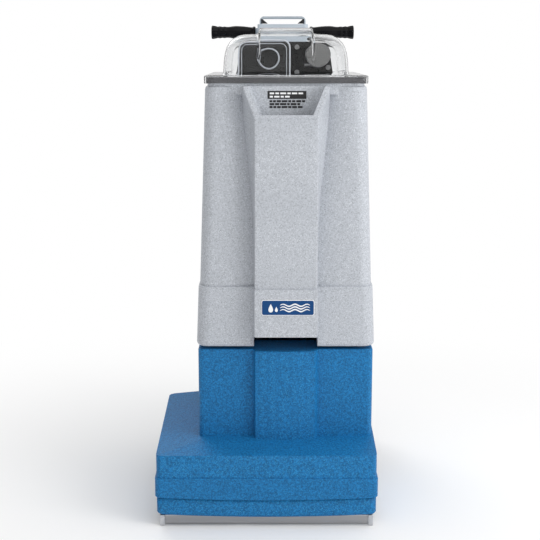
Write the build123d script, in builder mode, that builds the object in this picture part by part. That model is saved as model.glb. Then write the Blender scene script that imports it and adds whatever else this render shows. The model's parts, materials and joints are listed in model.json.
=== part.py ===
"""Self-contained spot extractor: a speckled upper tank with a clear lid, tilting on a base with an
offset brush deck, two rear wheels and a folding mast with a handlebar.

Millimetres, +Z up.  The machine faces -Y, the operator stands at +Y.  The origin lies on the floor
under the centre of the overall box.  Inside this file, `bx` takes a distance to the right of the
body's own centreline and `dy` takes a depth behind the front face of the brush deck.
"""

import math
import os

from build123d import *

os.makedirs("parts", exist_ok=True)

# ---------------------------------------------------------------- driving dimensions
BODY_X = 43.75  # body centreline, right of the overall centre: the deck reaches further left
FRONT_Y = -426.0  # front face of the brush deck
WALL = 5.0  # rotomoulded wall
GAP = 0.4  # clearance between a turning part and its neighbour

# Base: brush deck, side pod and neck
DECK_LEFT, DECK_RIGHT, DECK_FRONT, DECK_REAR = -266.0, 186.5, 3.0, 240.0
POD_REAR, POD_FLARE = 441.0, 8.0
DECK_EDGE_Z = 155.0  # top of the deck at its outer edges
FRONT_SLOPE, SIDE_SLOPE = 0.115, 0.095
BUMPER_LOW_Z, BUMPER_HIGH_Z, BUMPER_OUT = 65.0, 106.5, 3.0
SKIRT_LOW_Z, SKIRT_WALL = 27.0, 3.5
NECK_HALF, NECK_FRONT, NECK_REAR, NECK_TOP = 183.0, 100.0, 525.0, 354.0
BAY_HALF, BAY_FRONT, BAY_REAR = 132.0, 178.0, 400.0  # service opening under the tank

# Wheels
WHEEL_R, WHEEL_W, WHEEL_X, AXLE_DEPTH = 127.0, 50.0, 157.0, 470.0
AXLE_R, WELL_R, WELL_INNER, WELL_OUTER = 8.0, 139.0, 118.0, 192.0

# Brush drive
BRUSH_R, BRUSH_DEPTH, BRUSH_Z = 42.0, 120.0, 43.5
BRUSH_LEFT, BRUSH_RIGHT = -216.0, 164.0
DRIVE_DEPTH, DRIVE_Z = 280.0, 112.0  # motor shaft, which the swing arms pivot on
ARM_LEFT_X, ARM_RIGHT_X, ARM_T = -227.0, 168.0, 6.0
PULLEY_X, BELT_W, BELT_T = -245.0, 12.0, 3.0
BRUSH_PULLEY_R, MOTOR_PULLEY_R = 24.0, 12.0

# Inside the base
PLATE_Z, PLATE_T, PLATE_FRONT, MOTOR_R = 62.0, 3.0, 244.0, 40.0
SPRAY_DEPTH, SPRAY_Z, SPRAY_R = 215.0, 80.0, 5.0
SHOE_LEFT, SHOE_RIGHT, HOSE_Z = -257.5, 178.0, 121.0
FAN_X, FAN_DEPTH, FAN_R = 52.0, 300.0, 68.0
FAN_LOW_Z, FAN_TOP_Z = 160.0, 214.0
PUMP_X, PUMP_DEPTH = 0.0, 405.0
FEED_X, FEED_DEPTH, FEED_R = -100.0, 166.0, 6.0
FAN_SHAFT_R, MOTOR_SHAFT_R, BRUSH_SHAFT_R, BRUSH_CORE_R, RIM_R = 4.0, 6.0, 8.0, 26.0, 98.0
SEAL_LOW_Z = 343.0

# Upper tank
TANK_LOW_Z, BAND_TOP_Z, TANK_TOP_Z = 361.0, 488.0, 897.0
BAND_LOW_HALF, BAND_HIGH_HALF = 186.0, 181.0
BODY_LOW_HALF, BODY_HIGH_HALF = 178.0, 164.0
TANK_FRONT_LOW, TANK_FRONT_HIGH = 94.0, 105.0
TANK_REAR_LOW, TANK_REAR_HIGH = 502.0, 492.0
PANEL_HALF, PANEL_FACE, PANEL_BAND_FACE, PANEL_LOW_Z = 64.0, 64.0, 60.0, 389.0
RIM_FLARE_HALF, RIM_FLARE_Z = 88.5, 833.0
POCKET_LIP_Z, POCKET_LIP_HALF, POCKET_TOP_HALF = 841.0, 53.5, 76.0
POCKET_BACK, POCKET_FLOOR_Z = 102.0, 792.0
NOTCH_HALF, NOTCH_REAR, FLUTE_LOW_Z = 66.0, 172.0, 575.0
PARTITION_DEPTH, PARTITION_T = 250.0, 6.0
MOUTH_HALF, MOUTH_FRONT, MOUTH_REAR = 125.0, 262.0, 392.0  # recovery tank's open mouth
RIM_HALF, RIM_FRONT, RIM_REAR, RIM_H, RIM_T = 159.0, 110.0, 486.0, 12.0, 5.0
HINGE_DEPTH, HINGE_Z, HINGE_PIN_R = 514.0, 363.0, 3.0

# Lid, separator tower and what stands inside the lid
FLANGE_Z, FLANGE_T, SKIRT_DROP = 914.0, 4.0, 12.0
DOME_FRONT, DOME_REAR, DOME_T = 124.0, 484.0, 3.5
DOME_BASE_HALF, DOME_TOP_HALF, DOME_TOP_Z = 128.0, 121.0, 1000.0
RIDGE_HALF, RIDGE_TOP_Z = 55.0, 1013.0
TOWER_FRONT, TOWER_REAR, TOWER_TOP_Z = 400.0, 462.0, 988.0
TOWER_BASE_HALF, TOWER_TOP_HALF = 112.0, 98.0
INLET_X, INLET_Z, VAC_X, VAC_Z, PORT_R = -35.0, 950.0, 75.0, 959.0, 22.0
PIPE_DEPTH, RECOVERY_PIPE_X, VAC_PIPE_X, PIPE_R, PIPE_T = 436.0, -60.0, 75.0, 19.0, 2.5
DRAIN_PORT_X, DRAIN_PORT_DEPTH, DRAIN_TURN_Z, DRAIN_X, DRAIN_R = 8.0, 464.0, 300.0, -98.0, 15.0
TANK_PORTS = (
    (RECOVERY_PIPE_X, PIPE_DEPTH, PIPE_R),
    (VAC_PIPE_X, PIPE_DEPTH, PIPE_R),
    (DRAIN_PORT_X, DRAIN_PORT_DEPTH, DRAIN_R),
)
LID_HALF, LID_FRONT, LID_REAR = 165.5, 101.0, 496.0
FLOAT_X, FLOAT_DEPTH, FLOAT_LOW_Z = 8.0, 425.0, 800.0
DEFLECT_LEFT, DEFLECT_RIGHT, DEFLECT_FRONT, DEFLECT_TOP_Z = -102.0, 11.0, 335.0, 990.0

# Mast and console
PIVOT_DEPTH, PIVOT_Z, MAST_LEAN, TUBE_R, TUBE_X = 562.0, 330.0, 20.5, 11.0, 42.0
TUBE_BELOW, TUBE_ABOVE = 18.0, 717.0  # tube length either side of the pivot
CONSOLE_HALF, CONSOLE_FRONT, CONSOLE_REAR = 64.5, 779.0, 846.0
CONSOLE_LOW_Z, CONSOLE_TOP_Z, CONSOLE_WALL = 952.0, 1033.0, 3.0
BAR_DEPTH, BAR_Z, BAR_R, BAR_HALF = 817.4, 1013.0, 11.0, 180.0
GRIP_IN, GRIP_OUT, GRIP_R = 70.0, 184.0, 14.0
LOOP_TOP_Z, LOOP_R, LOOP_HALF, LOOP_DEPTH, LOOP_PIVOT_Z = 1053.0, 3.5, 59.0, 797.0, 1020.0
PIVOT_R, ROCKER_TILT = 5.0, 8.0
BREAKER_X, BREAKER_Z, BREAKER_R, GLAND_X = -42.0, 974.0, 4.0, 40.0
SWITCH_X, SWITCH_Z, SWITCH_HALF = (-30.0, 0.0, 30.0), 996.0, (6.0, 9.5)


def bx(across):
    """Row-frame X of a point this far to the right of the body's centreline."""
    return BODY_X + across


def dy(depth):
    """Row-frame Y of a point this far behind the deck's front face."""
    return FRONT_Y + depth


def save(builder, name):
    """Labels a finished piece and writes its STEP file."""
    builder.part.label = name
    export_step(builder.part, f"parts/{name}.step")


def box_between(x0, x1, d0, d1, z0, z1, mode=Mode.ADD):
    """A box in the current part, from body X, depth and height limits."""
    with Locations((bx((x0 + x1) / 2), dy((d0 + d1) / 2), (z0 + z1) / 2)):
        Box(x1 - x0, d1 - d0, z1 - z0, mode=mode)


def rod_along_x(radius, x0, x1, depth, z, mode=Mode.ADD):
    """A cylinder along X in the current part."""
    with Locations((bx((x0 + x1) / 2), dy(depth), z)):
        Cylinder(radius, x1 - x0, rotation=(0, 90, 0), mode=mode)


def depth_line(*points):
    """Closed outline in a sketch on a side plane, from (depth, z) points."""
    Polyline(*[(dy(depth), z) for depth, z in points], close=True)


def side_plane(across):
    """Plane facing +X at this body X, whose own x is depth and whose own y is height."""
    return Plane(origin=(bx(across), 0, 0), x_dir=(0, 1, 0), z_dir=(1, 0, 0))


def hose(points, radius, bend, wall=0.0):
    """A hose or pipe through body points (across, depth, z), hollow if it has a wall."""
    route = [Vector(bx(across), dy(depth), z) for across, depth, z in points]
    with BuildPart() as tube:
        with BuildLine() as path:
            FilletPolyline(*route, radius=bend)
        with BuildSketch(Plane(origin=path.line @ 0, z_dir=path.line % 0)):
            Circle(radius)
            if wall:
                Circle(radius - wall, mode=Mode.SUBTRACT)
        sweep()
    return tube.part


def along_mast(distance):
    """Depth and height of a point this far up the mast from its pivot."""
    lean = math.radians(MAST_LEAN)
    return PIVOT_DEPTH + distance * math.sin(lean), PIVOT_Z + distance * math.cos(lean)


# ---------------------------------------------------------------- base
def deck_plan(grow, z):
    """Plan of the brush deck with its side pod, grown or shrunk, as a sketch at height z."""
    with BuildSketch(Plane.XY.offset(z)) as plan:
        with BuildLine():
            Polyline(
                (bx(DECK_LEFT), dy(DECK_FRONT)),
                (bx(DECK_RIGHT), dy(DECK_FRONT)),
                (bx(DECK_RIGHT), dy(DECK_REAR)),
                (bx(-150), dy(DECK_REAR)),
                (bx(-150), dy(POD_REAR)),
                (bx(DECK_LEFT - POD_FLARE), dy(POD_REAR)),
                close=True,
            )
        make_face()
        if grow:
            offset(amount=grow, kind=Kind.INTERSECTION)
        fillet(plan.vertices().group_by(Axis.Y)[0], 12)
        fillet(plan.vertices().sort_by(Axis.X)[0], 12)
    return plan.sketch


def deck_front_plan(grow, z):
    """Plan of the skirt that hangs under the brush deck."""
    with BuildSketch(Plane.XY.offset(z)) as plan:
        with Locations((bx((DECK_LEFT + DECK_RIGHT) / 2), dy((DECK_FRONT + DECK_REAR) / 2))):
            RectangleRounded(
                DECK_RIGHT - DECK_LEFT + 2 * grow, DECK_REAR - DECK_FRONT + 2 * grow, 12 + grow
            )
    return plan.sketch


def wheel_wells(grow):
    """The two round wheel wells, grown by the wall when they bound the inner space."""
    with BuildPart() as wells:
        rod_along_x(WELL_R + grow, WELL_INNER - grow, NECK_HALF + 60, AXLE_DEPTH, WHEEL_R)
        rod_along_x(WELL_R + grow, -WELL_OUTER - grow, -WELL_INNER + grow, AXLE_DEPTH, WHEEL_R)
    return wells.part


def hood_block(inset):
    """The brush deck and side pod as a solid whose top falls to the front and to the left."""
    low = BUMPER_LOW_Z - inset
    front_edge = Vector(0, dy(DECK_FRONT), DECK_EDGE_Z - inset)
    left_edge = Vector(bx(DECK_LEFT), 0, DECK_EDGE_Z - inset)
    with BuildPart() as hood:
        add(deck_plan(-inset, low))
        extrude(amount=130)
        split(bisect_by=Plane(front_edge, z_dir=(0, -FRONT_SLOPE, 1)), keep=Keep.BOTTOM)
        split(bisect_by=Plane(left_edge, z_dir=(-SIDE_SLOPE, 0, 1)), keep=Keep.BOTTOM)
    return hood.part


def neck_block(inset):
    """The column under the tank, with its prow down the front."""
    height = NECK_TOP - BUMPER_LOW_Z
    with BuildPart() as neck:
        with BuildSketch(Plane.XY.offset(BUMPER_LOW_Z - inset)):
            with Locations((bx(0), dy((NECK_FRONT + NECK_REAR) / 2))):
                RectangleRounded(
                    2 * (NECK_HALF - inset), NECK_REAR - NECK_FRONT - 2 * inset, 12
                )
            with BuildLine():
                Polyline(
                    (bx(-67 + inset), dy(NECK_FRONT + 10)),
                    (bx(-63 + inset), dy(NECK_FRONT - 17 + inset)),
                    (bx(0), dy(NECK_FRONT - 22 + inset)),
                    (bx(61 - inset), dy(NECK_FRONT - 15 + inset)),
                    (bx(69 - inset), dy(NECK_FRONT + 10)),
                    close=True,
                )
            make_face()
        extrude(amount=height)
    return neck.part


def housing_block(inset):
    """The whole base as one solid: outside at inset 0, inner space at inset WALL."""
    with BuildPart() as block:
        add(hood_block(inset))
        add(neck_block(inset))
        if not inset:
            add(deck_plan(BUMPER_OUT, BUMPER_LOW_Z))
            extrude(amount=BUMPER_HIGH_Z - BUMPER_LOW_Z)
        add(wheel_wells(inset), mode=Mode.SUBTRACT)
    return block.part


with BuildPart() as base_housing:
    add(housing_block(0))
    add(housing_block(WALL), mode=Mode.SUBTRACT)
    box_between(-BAY_HALF, BAY_HALF, BAY_FRONT, BAY_REAR, NECK_TOP - 2 * WALL, NECK_TOP + 1,
                mode=Mode.SUBTRACT)
    rod_along_x(AXLE_R + 2, -WELL_OUTER, WELL_OUTER, AXLE_DEPTH, WHEEL_R, mode=Mode.SUBTRACT)
    for x, depth, radius in TANK_PORTS:
        with Locations((bx(x), dy(depth), NECK_TOP)):
            Cylinder(radius + 2, 4 * WALL, mode=Mode.SUBTRACT)
    with Locations((bx(DRAIN_X), dy(NECK_REAR), DRAIN_TURN_Z)):
        Cylinder(DRAIN_R, 4 * WALL, rotation=(90, 0, 0), mode=Mode.SUBTRACT)
    with Locations((bx(FEED_X), dy(FEED_DEPTH), NECK_TOP)):
        Cylinder(FEED_R, 4 * WALL, mode=Mode.SUBTRACT)
save(base_housing, "base_housing")

with BuildPart() as deck_skirt:
    add(deck_front_plan(0, SKIRT_LOW_Z))
    extrude(amount=BUMPER_LOW_Z - SKIRT_LOW_Z)
    fillet(deck_skirt.edges().group_by(Axis.Z)[0], 6)
    add(deck_front_plan(-SKIRT_WALL, SKIRT_LOW_Z - 1))
    extrude(amount=BUMPER_LOW_Z - SKIRT_LOW_Z + 2, mode=Mode.SUBTRACT)
save(deck_skirt, "deck_skirt")

# Steel plate across the bottom of the neck, with the axle's uprights and the arm's pivot pin.
with BuildPart() as chassis_frame:
    box_between(-108, 108, PLATE_FRONT, 520, PLATE_Z, PLATE_Z + PLATE_T)
    box_between(-215, 178, PLATE_FRONT, 322, PLATE_Z, PLATE_Z + PLATE_T)
    for side in (-1, 1):
        box_between(side * 101 - 2, side * 101 + 2, 440, 500, PLATE_Z, WHEEL_R + 26)
    for x in (-170, -115):
        box_between(x - 2, x + 2, 250, 310, PLATE_Z, DRIVE_Z - 30)
    box_between(158, 162, 258, 302, PLATE_Z, DRIVE_Z + 16)
    rod_along_x(8, 162, ARM_RIGHT_X + 6, DRIVE_DEPTH, DRIVE_Z)
    rod_along_x(AXLE_R, -110, 110, AXLE_DEPTH, WHEEL_R, mode=Mode.SUBTRACT)
    rod_along_x(MOTOR_R, -180, -100, DRIVE_DEPTH, DRIVE_Z, mode=Mode.SUBTRACT)
    for x in (-120, 80):
        box_between(x - 8, x + 8, SPRAY_DEPTH - 3, PLATE_FRONT + 12, PLATE_Z + PLATE_T, PLATE_Z + 2 * PLATE_T)
        box_between(x - 8, x + 8, SPRAY_DEPTH - 3, SPRAY_DEPTH + 3, PLATE_Z + PLATE_T, SPRAY_Z - SPRAY_R)
save(chassis_frame, "chassis_frame")

with BuildPart() as axle:
    rod_along_x(AXLE_R, -WELL_OUTER + 4, WELL_OUTER - 4, AXLE_DEPTH, WHEEL_R)
    chamfer(axle.edges(), 1)
save(axle, "axle")

# ---------------------------------------------------------------- recovery side
with BuildPart() as vac_shoe:
    with BuildSketch(side_plane(SHOE_LEFT)):
        with BuildLine():
            depth_line(
                (15, 0), (17, 0), (17, 97), (54, 97), (54, 62), (32, 0),
                (34.5, 0), (56, 61), (56, 99), (15, 99),
            )
        make_face()
    extrude(amount=SHOE_RIGHT - SHOE_LEFT)
    box_between(-60 - 28, -60 + 28, 15, 56, 97, 143)
    box_between(-60 - 26, -60 + 26, 17, 54, 60, 141, mode=Mode.SUBTRACT)
    with Locations((bx(-60), dy(56), HOSE_Z)):
        Cylinder(PIPE_R - PIPE_T, 20, rotation=(90, 0, 0), mode=Mode.SUBTRACT)
save(vac_shoe, "vac_shoe")

with BuildPart() as shoe_end_plates:
    for x in (SHOE_LEFT - 2.5, SHOE_RIGHT):
        with BuildSketch(side_plane(x)):
            with BuildLine():
                depth_line((13, 0), (38, 0), (58, 60), (58, 99), (19, 99), (19, 64), (13, 64))
            make_face()
        extrude(amount=2.5)
save(shoe_end_plates, "shoe_end_plates")

with BuildPart() as recovery_hose:
    add(hose(
        [(-60, 56, HOSE_Z), (-60, PIPE_DEPTH, HOSE_Z), (-60, PIPE_DEPTH, SEAL_LOW_Z)],
        PIPE_R, 60, PIPE_T,
    ))
save(recovery_hose, "recovery_hose")

with BuildPart() as vac_hose:
    add(hose(
        [
            (VAC_PIPE_X, PIPE_DEPTH, SEAL_LOW_Z),
            (VAC_PIPE_X, PIPE_DEPTH, 280),
            (FAN_X, FAN_DEPTH, 280),
            (FAN_X, FAN_DEPTH, FAN_TOP_Z + 16),
        ],
        PIPE_R, 40, PIPE_T,
    ))
save(vac_hose, "vac_hose")

# Grommets in the neck's top that seal against the tank's two pipes and its drain.
with BuildPart() as port_seals:
    for x, depth, radius in TANK_PORTS:
        with Locations((bx(x), dy(depth), 0)):
            with Locations((0, 0, (NECK_TOP + TANK_LOW_Z - 0.3) / 2)):
                Cylinder(radius + 7, TANK_LOW_Z - 0.3 - NECK_TOP)
            with Locations((0, 0, (SEAL_LOW_Z + NECK_TOP) / 2)):
                Cylinder(radius + 2, NECK_TOP - SEAL_LOW_Z)
            with Locations((0, 0, NECK_TOP)):
                Cylinder(radius - PIPE_T, 60, mode=Mode.SUBTRACT)
save(port_seals, "port_seals")

with BuildPart() as vac_motor:
    with Locations((bx(FAN_X), dy(FAN_DEPTH), 0)):
        with Locations((0, 0, (PLATE_Z + PLATE_T + FAN_LOW_Z) / 2)):
            Cylinder(46, FAN_LOW_Z - PLATE_Z - PLATE_T)
        with Locations((0, 0, (FAN_LOW_Z + FAN_TOP_Z) / 2)):
            Cylinder(FAN_R, FAN_TOP_Z - FAN_LOW_Z)
            Cylinder(FAN_R - 3, FAN_TOP_Z - FAN_LOW_Z - 6, mode=Mode.SUBTRACT)
        with Locations((0, 0, FAN_TOP_Z + 8)):
            Cylinder(PIPE_R, 16)
        with Locations((0, 0, FAN_TOP_Z + 5)):
            Cylinder(PIPE_R - PIPE_T, 40, mode=Mode.SUBTRACT)
        with Locations((0, 0, FAN_LOW_Z - 20)):
            Cylinder(FAN_SHAFT_R + 0.05, 60, mode=Mode.SUBTRACT)
    fillet(vac_motor.faces().sort_by(Axis.Z)[0].outer_wire().edges(), 6)
save(vac_motor, "vac_motor")

# Impeller: a back plate and a front plate with curved blades between, on the motor's shaft.
with BuildPart() as vac_fan:
    with Locations((bx(FAN_X), dy(FAN_DEPTH), 0)):
        with Locations((0, 0, 172)):
            Cylinder(60, 2)
        with Locations((0, 0, 198)):
            Cylinder(60, 2)
            Cylinder(19, 4, mode=Mode.SUBTRACT)
        with Locations((0, 0, 154)):
            Cylinder(FAN_SHAFT_R, 66)
        with Locations((0, 0, 180)):
            Cylinder(9, 18)
    with BuildSketch(Plane(origin=(bx(FAN_X), dy(FAN_DEPTH), 172))):
        with PolarLocations(0, 9):
            with BuildLine():
                RadiusArc((20, 0), (54, 20), 40)
                RadiusArc((54, 20), (54, 23), -60)
                RadiusArc((54, 23), (20, 2), -42)
                Line((20, 2), (20, 0))
            make_face()
    extrude(amount=26)
save(vac_fan, "vac_fan")

# ---------------------------------------------------------------- solution side
with BuildPart() as pump:
    with Locations((bx(PUMP_X), dy(PUMP_DEPTH), 108)):
        Cylinder(25, 86)
    box_between(PUMP_X - 28, PUMP_X + 28, PUMP_DEPTH - 25, PUMP_DEPTH + 25, 151, 196)
    fillet(pump.edges().filter_by(Axis.Z), 5)
save(pump, "pump")

with BuildPart() as solution_hoses:
    add(hose(
        [(FEED_X, FEED_DEPTH, 358), (FEED_X, FEED_DEPTH, 250), (0, PUMP_DEPTH, 250),
         (0, PUMP_DEPTH, 196)],
        5, 30, 1.5,
    ))
    add(hose(
        [(-24, PUMP_DEPTH - 25, 172), (-24, SPRAY_DEPTH, 172), (-24, SPRAY_DEPTH, SPRAY_Z + SPRAY_R)],
        4, 24, 1.2,
    ))
save(solution_hoses, "solution_hoses")

with BuildPart() as spray_bar:
    rod_along_x(SPRAY_R, -205, 145, SPRAY_DEPTH, SPRAY_Z)
save(spray_bar, "spray_bar")

with BuildPart() as spray_nozzles:
    for x in (-180, -75, 30, 125):
        with Locations((bx(x), dy(SPRAY_DEPTH), 0)):
            with Locations((0, 0, 69)):
                Cylinder(5, 12)
            with Locations((0, 0, 58)):
                Cone(2.5, 5, 10)
            with Locations((0, 0, SPRAY_Z)):
                Cylinder(SPRAY_R, 400, rotation=(0, 90, 0), mode=Mode.SUBTRACT)
save(spray_nozzles, "spray_nozzles")

# ---------------------------------------------------------------- brush drive
with BuildPart() as brush_motor:
    rod_along_x(MOTOR_R, -200, -98, DRIVE_DEPTH, DRIVE_Z)
    fillet(brush_motor.edges().filter_by(GeomType.CIRCLE), 4)
    rod_along_x(14, -234, -200, DRIVE_DEPTH, DRIVE_Z)
    rod_along_x(MOTOR_SHAFT_R + 0.05, -240, -176, DRIVE_DEPTH, DRIVE_Z, mode=Mode.SUBTRACT)
save(brush_motor, "brush_motor")

with BuildPart() as motor_pulley:
    rod_along_x(MOTOR_SHAFT_R, -253, -178, DRIVE_DEPTH, DRIVE_Z)
    rod_along_x(MOTOR_PULLEY_R, PULLEY_X - BELT_W / 2, PULLEY_X + BELT_W / 2, DRIVE_DEPTH, DRIVE_Z)
    for side in (-1, 1):
        edge = PULLEY_X + side * (BELT_W / 2 + 0.5)
        rod_along_x(MOTOR_PULLEY_R + 4, edge - 1, edge + 1, DRIVE_DEPTH, DRIVE_Z)
save(motor_pulley, "motor_pulley")

with BuildPart() as brush_pulley:
    rod_along_x(BRUSH_PULLEY_R, PULLEY_X - BELT_W / 2, PULLEY_X + BELT_W / 2, BRUSH_DEPTH, BRUSH_Z)
    for side in (-1, 1):
        edge = PULLEY_X + side * (BELT_W / 2 + 0.5)
        rod_along_x(BRUSH_PULLEY_R + 4, edge - 1, edge + 1, BRUSH_DEPTH, BRUSH_Z)
    rod_along_x(BRUSH_SHAFT_R, -260, -230, BRUSH_DEPTH, BRUSH_Z, mode=Mode.SUBTRACT)
save(brush_pulley, "brush_pulley")

with BuildPart() as brush_core:
    rod_along_x(BRUSH_CORE_R, BRUSH_LEFT, BRUSH_RIGHT, BRUSH_DEPTH, BRUSH_Z)
    rod_along_x(BRUSH_SHAFT_R, -253, ARM_RIGHT_X + 6, BRUSH_DEPTH, BRUSH_Z)
save(brush_core, "brush_core")

with BuildPart() as brush_bristles:
    rod_along_x(BRUSH_R, BRUSH_LEFT + 4, BRUSH_RIGHT - 4, BRUSH_DEPTH, BRUSH_Z)
    rod_along_x(BRUSH_CORE_R, BRUSH_LEFT, BRUSH_RIGHT, BRUSH_DEPTH, BRUSH_Z, mode=Mode.SUBTRACT)
save(brush_bristles, "brush_bristles")

ARM_RUN = Vector(BRUSH_DEPTH - DRIVE_DEPTH, BRUSH_Z - DRIVE_Z)
ARM_TILT = math.degrees(math.atan2(ARM_RUN.Y, ARM_RUN.X))


def link_outline(radius_front, radius_rear):
    """Slot-like outline round the brush shaft and the drive shaft, on a side plane."""
    with Locations((dy(BRUSH_DEPTH), BRUSH_Z)):
        Circle(radius_front)
    with Locations((dy(DRIVE_DEPTH), DRIVE_Z)):
        Circle(radius_rear)
    make_hull()


with BuildPart() as brush_frame:
    for x, rear_hole in ((ARM_LEFT_X, 14.05), (ARM_RIGHT_X, 8.05)):
        with BuildSketch(side_plane(x - ARM_T / 2)):
            link_outline(14, 20)
            with Locations((dy(BRUSH_DEPTH), BRUSH_Z)):
                Circle(BRUSH_SHAFT_R + 0.05, mode=Mode.SUBTRACT)
            with Locations((dy(DRIVE_DEPTH), DRIVE_Z)):
                Circle(rear_hole, mode=Mode.SUBTRACT)
        extrude(amount=ARM_T)
    rod_along_x(6, ARM_LEFT_X, ARM_RIGHT_X, 187, 72)
save(brush_frame, "brush_frame")

with BuildPart() as drive_belt:
    with BuildSketch(side_plane(PULLEY_X - BELT_W / 2 + 1)):
        link_outline(BRUSH_PULLEY_R + 0.3 + BELT_T, MOTOR_PULLEY_R + 0.3 + BELT_T)
        with BuildSketch(mode=Mode.PRIVATE) as inside:
            link_outline(BRUSH_PULLEY_R + 0.3, MOTOR_PULLEY_R + 0.3)
        add(inside.sketch, mode=Mode.SUBTRACT)
    extrude(amount=BELT_W - 2)
save(drive_belt, "drive_belt")

# ---------------------------------------------------------------- wheels
for side, word in ((-1, "left"), (1, "right")):
    low, high = side * WHEEL_X - WHEEL_W / 2, side * WHEEL_X + WHEEL_W / 2
    with BuildPart() as tyre:
        rod_along_x(WHEEL_R, low, high, AXLE_DEPTH, WHEEL_R)
        rod_along_x(RIM_R, low, high, AXLE_DEPTH, WHEEL_R, mode=Mode.SUBTRACT)
        fillet(tyre.edges().filter_by(GeomType.CIRCLE).group_by(SortBy.RADIUS)[-1], 9)
    save(tyre, f"tyre_{word}")
    with BuildPart() as hub:
        rod_along_x(RIM_R, low + 2, high - 2, AXLE_DEPTH, WHEEL_R)
        rod_along_x(RIM_R - 8, low, low + 16, AXLE_DEPTH, WHEEL_R, mode=Mode.SUBTRACT)
        rod_along_x(RIM_R - 8, high - 16, high, AXLE_DEPTH, WHEEL_R, mode=Mode.SUBTRACT)
        rod_along_x(19, low + 1, high - 1, AXLE_DEPTH, WHEEL_R)
        with Locations(Plane(origin=(bx(side * WHEEL_X), dy(AXLE_DEPTH), WHEEL_R), z_dir=(1, 0, 0))):
            with PolarLocations(56, 5):
                Cylinder(17, WHEEL_W, mode=Mode.SUBTRACT)
        rod_along_x(AXLE_R + 0.05, low, high, AXLE_DEPTH, WHEEL_R, mode=Mode.SUBTRACT)
    save(hub, f"wheel_hub_{word}")


# ---------------------------------------------------------------- upper tank
def tank_layer(half, front, rear, z, corner=22):
    """One level of the tank's tapering body, as a rounded rectangle."""
    with BuildSketch(Plane.XY.offset(z)) as layer:
        with Locations((bx(0), dy((front + rear) / 2))):
            RectangleRounded(2 * half, rear - front, corner)
    return layer.sketch


def tank_body(inset):
    """Band and tapering body as one solid, outside at inset 0."""
    low, high = TANK_LOW_Z + inset, TANK_TOP_Z - inset
    corner = 22 - inset
    with BuildPart() as body:
        for half_low, half_high, front_low, front_high, z_low, z_high in (
            (BAND_LOW_HALF, BAND_HIGH_HALF, TANK_FRONT_LOW - 3, TANK_FRONT_LOW - 2, low, BAND_TOP_Z - inset),
            (BODY_LOW_HALF, BODY_HIGH_HALF, TANK_FRONT_LOW, TANK_FRONT_HIGH, BAND_TOP_Z - inset, high),
        ):
            add(tank_layer(half_low - inset, front_low + inset, TANK_REAR_LOW - inset, z_low, corner))
            add(tank_layer(half_high - inset, front_high + inset, TANK_REAR_HIGH - inset, z_high, corner))
            loft()
    return body.part


def panel_block():
    """The proud centre panel, with its band step, its flared rim and the finger notch below."""
    with BuildPart() as panel:
        with BuildSketch(side_plane(-PANEL_HALF)):
            with BuildLine():
                depth_line(
                    (190, TANK_LOW_Z), (190, TANK_TOP_Z), (PANEL_FACE + 5, TANK_TOP_Z),
                    (PANEL_FACE, BAND_TOP_Z + 4), (PANEL_BAND_FACE, BAND_TOP_Z),
                    (PANEL_BAND_FACE, PANEL_LOW_Z), (NOTCH_REAR, PANEL_LOW_Z), (NOTCH_REAR, TANK_LOW_Z),
                )
            make_face()
        extrude(amount=2 * PANEL_HALF)
        fillet(panel.edges().filter_by(Axis.Z).group_by(Axis.Y)[0], 6)
        for z, half in ((RIM_FLARE_Z, PANEL_HALF), (TANK_TOP_Z, RIM_FLARE_HALF)):
            with BuildSketch(Plane.XY.offset(z)):
                with Locations((bx(0), dy((PANEL_FACE + 4 + 118) / 2))):
                    RectangleRounded(2 * half, 118 - PANEL_FACE - 4, 6)
        loft()
    return panel.part


with BuildPart() as fill_pocket:
    for z, half in ((POCKET_FLOOR_Z, 46), (POCKET_LIP_Z, POCKET_LIP_HALF), (TANK_TOP_Z + 1, POCKET_TOP_HALF)):
        with BuildSketch(Plane.XY.offset(z)):
            with Locations((bx(0), dy((PANEL_FACE + 9 + POCKET_BACK) / 2))):
                RectangleRounded(2 * half, POCKET_BACK - PANEL_FACE - 9, 6)
    loft(ruled=True)
    with BuildSketch(Plane.XZ.offset(-dy(POCKET_BACK - 14))):
        with BuildLine():
            Polyline(
                (bx(-POCKET_LIP_HALF), POCKET_LIP_Z), (bx(-POCKET_TOP_HALF), TANK_TOP_Z + 1),
                (bx(POCKET_TOP_HALF), TANK_TOP_Z + 1), (bx(POCKET_LIP_HALF), POCKET_LIP_Z), close=True,
            )
        make_face()
    extrude(amount=50)

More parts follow.
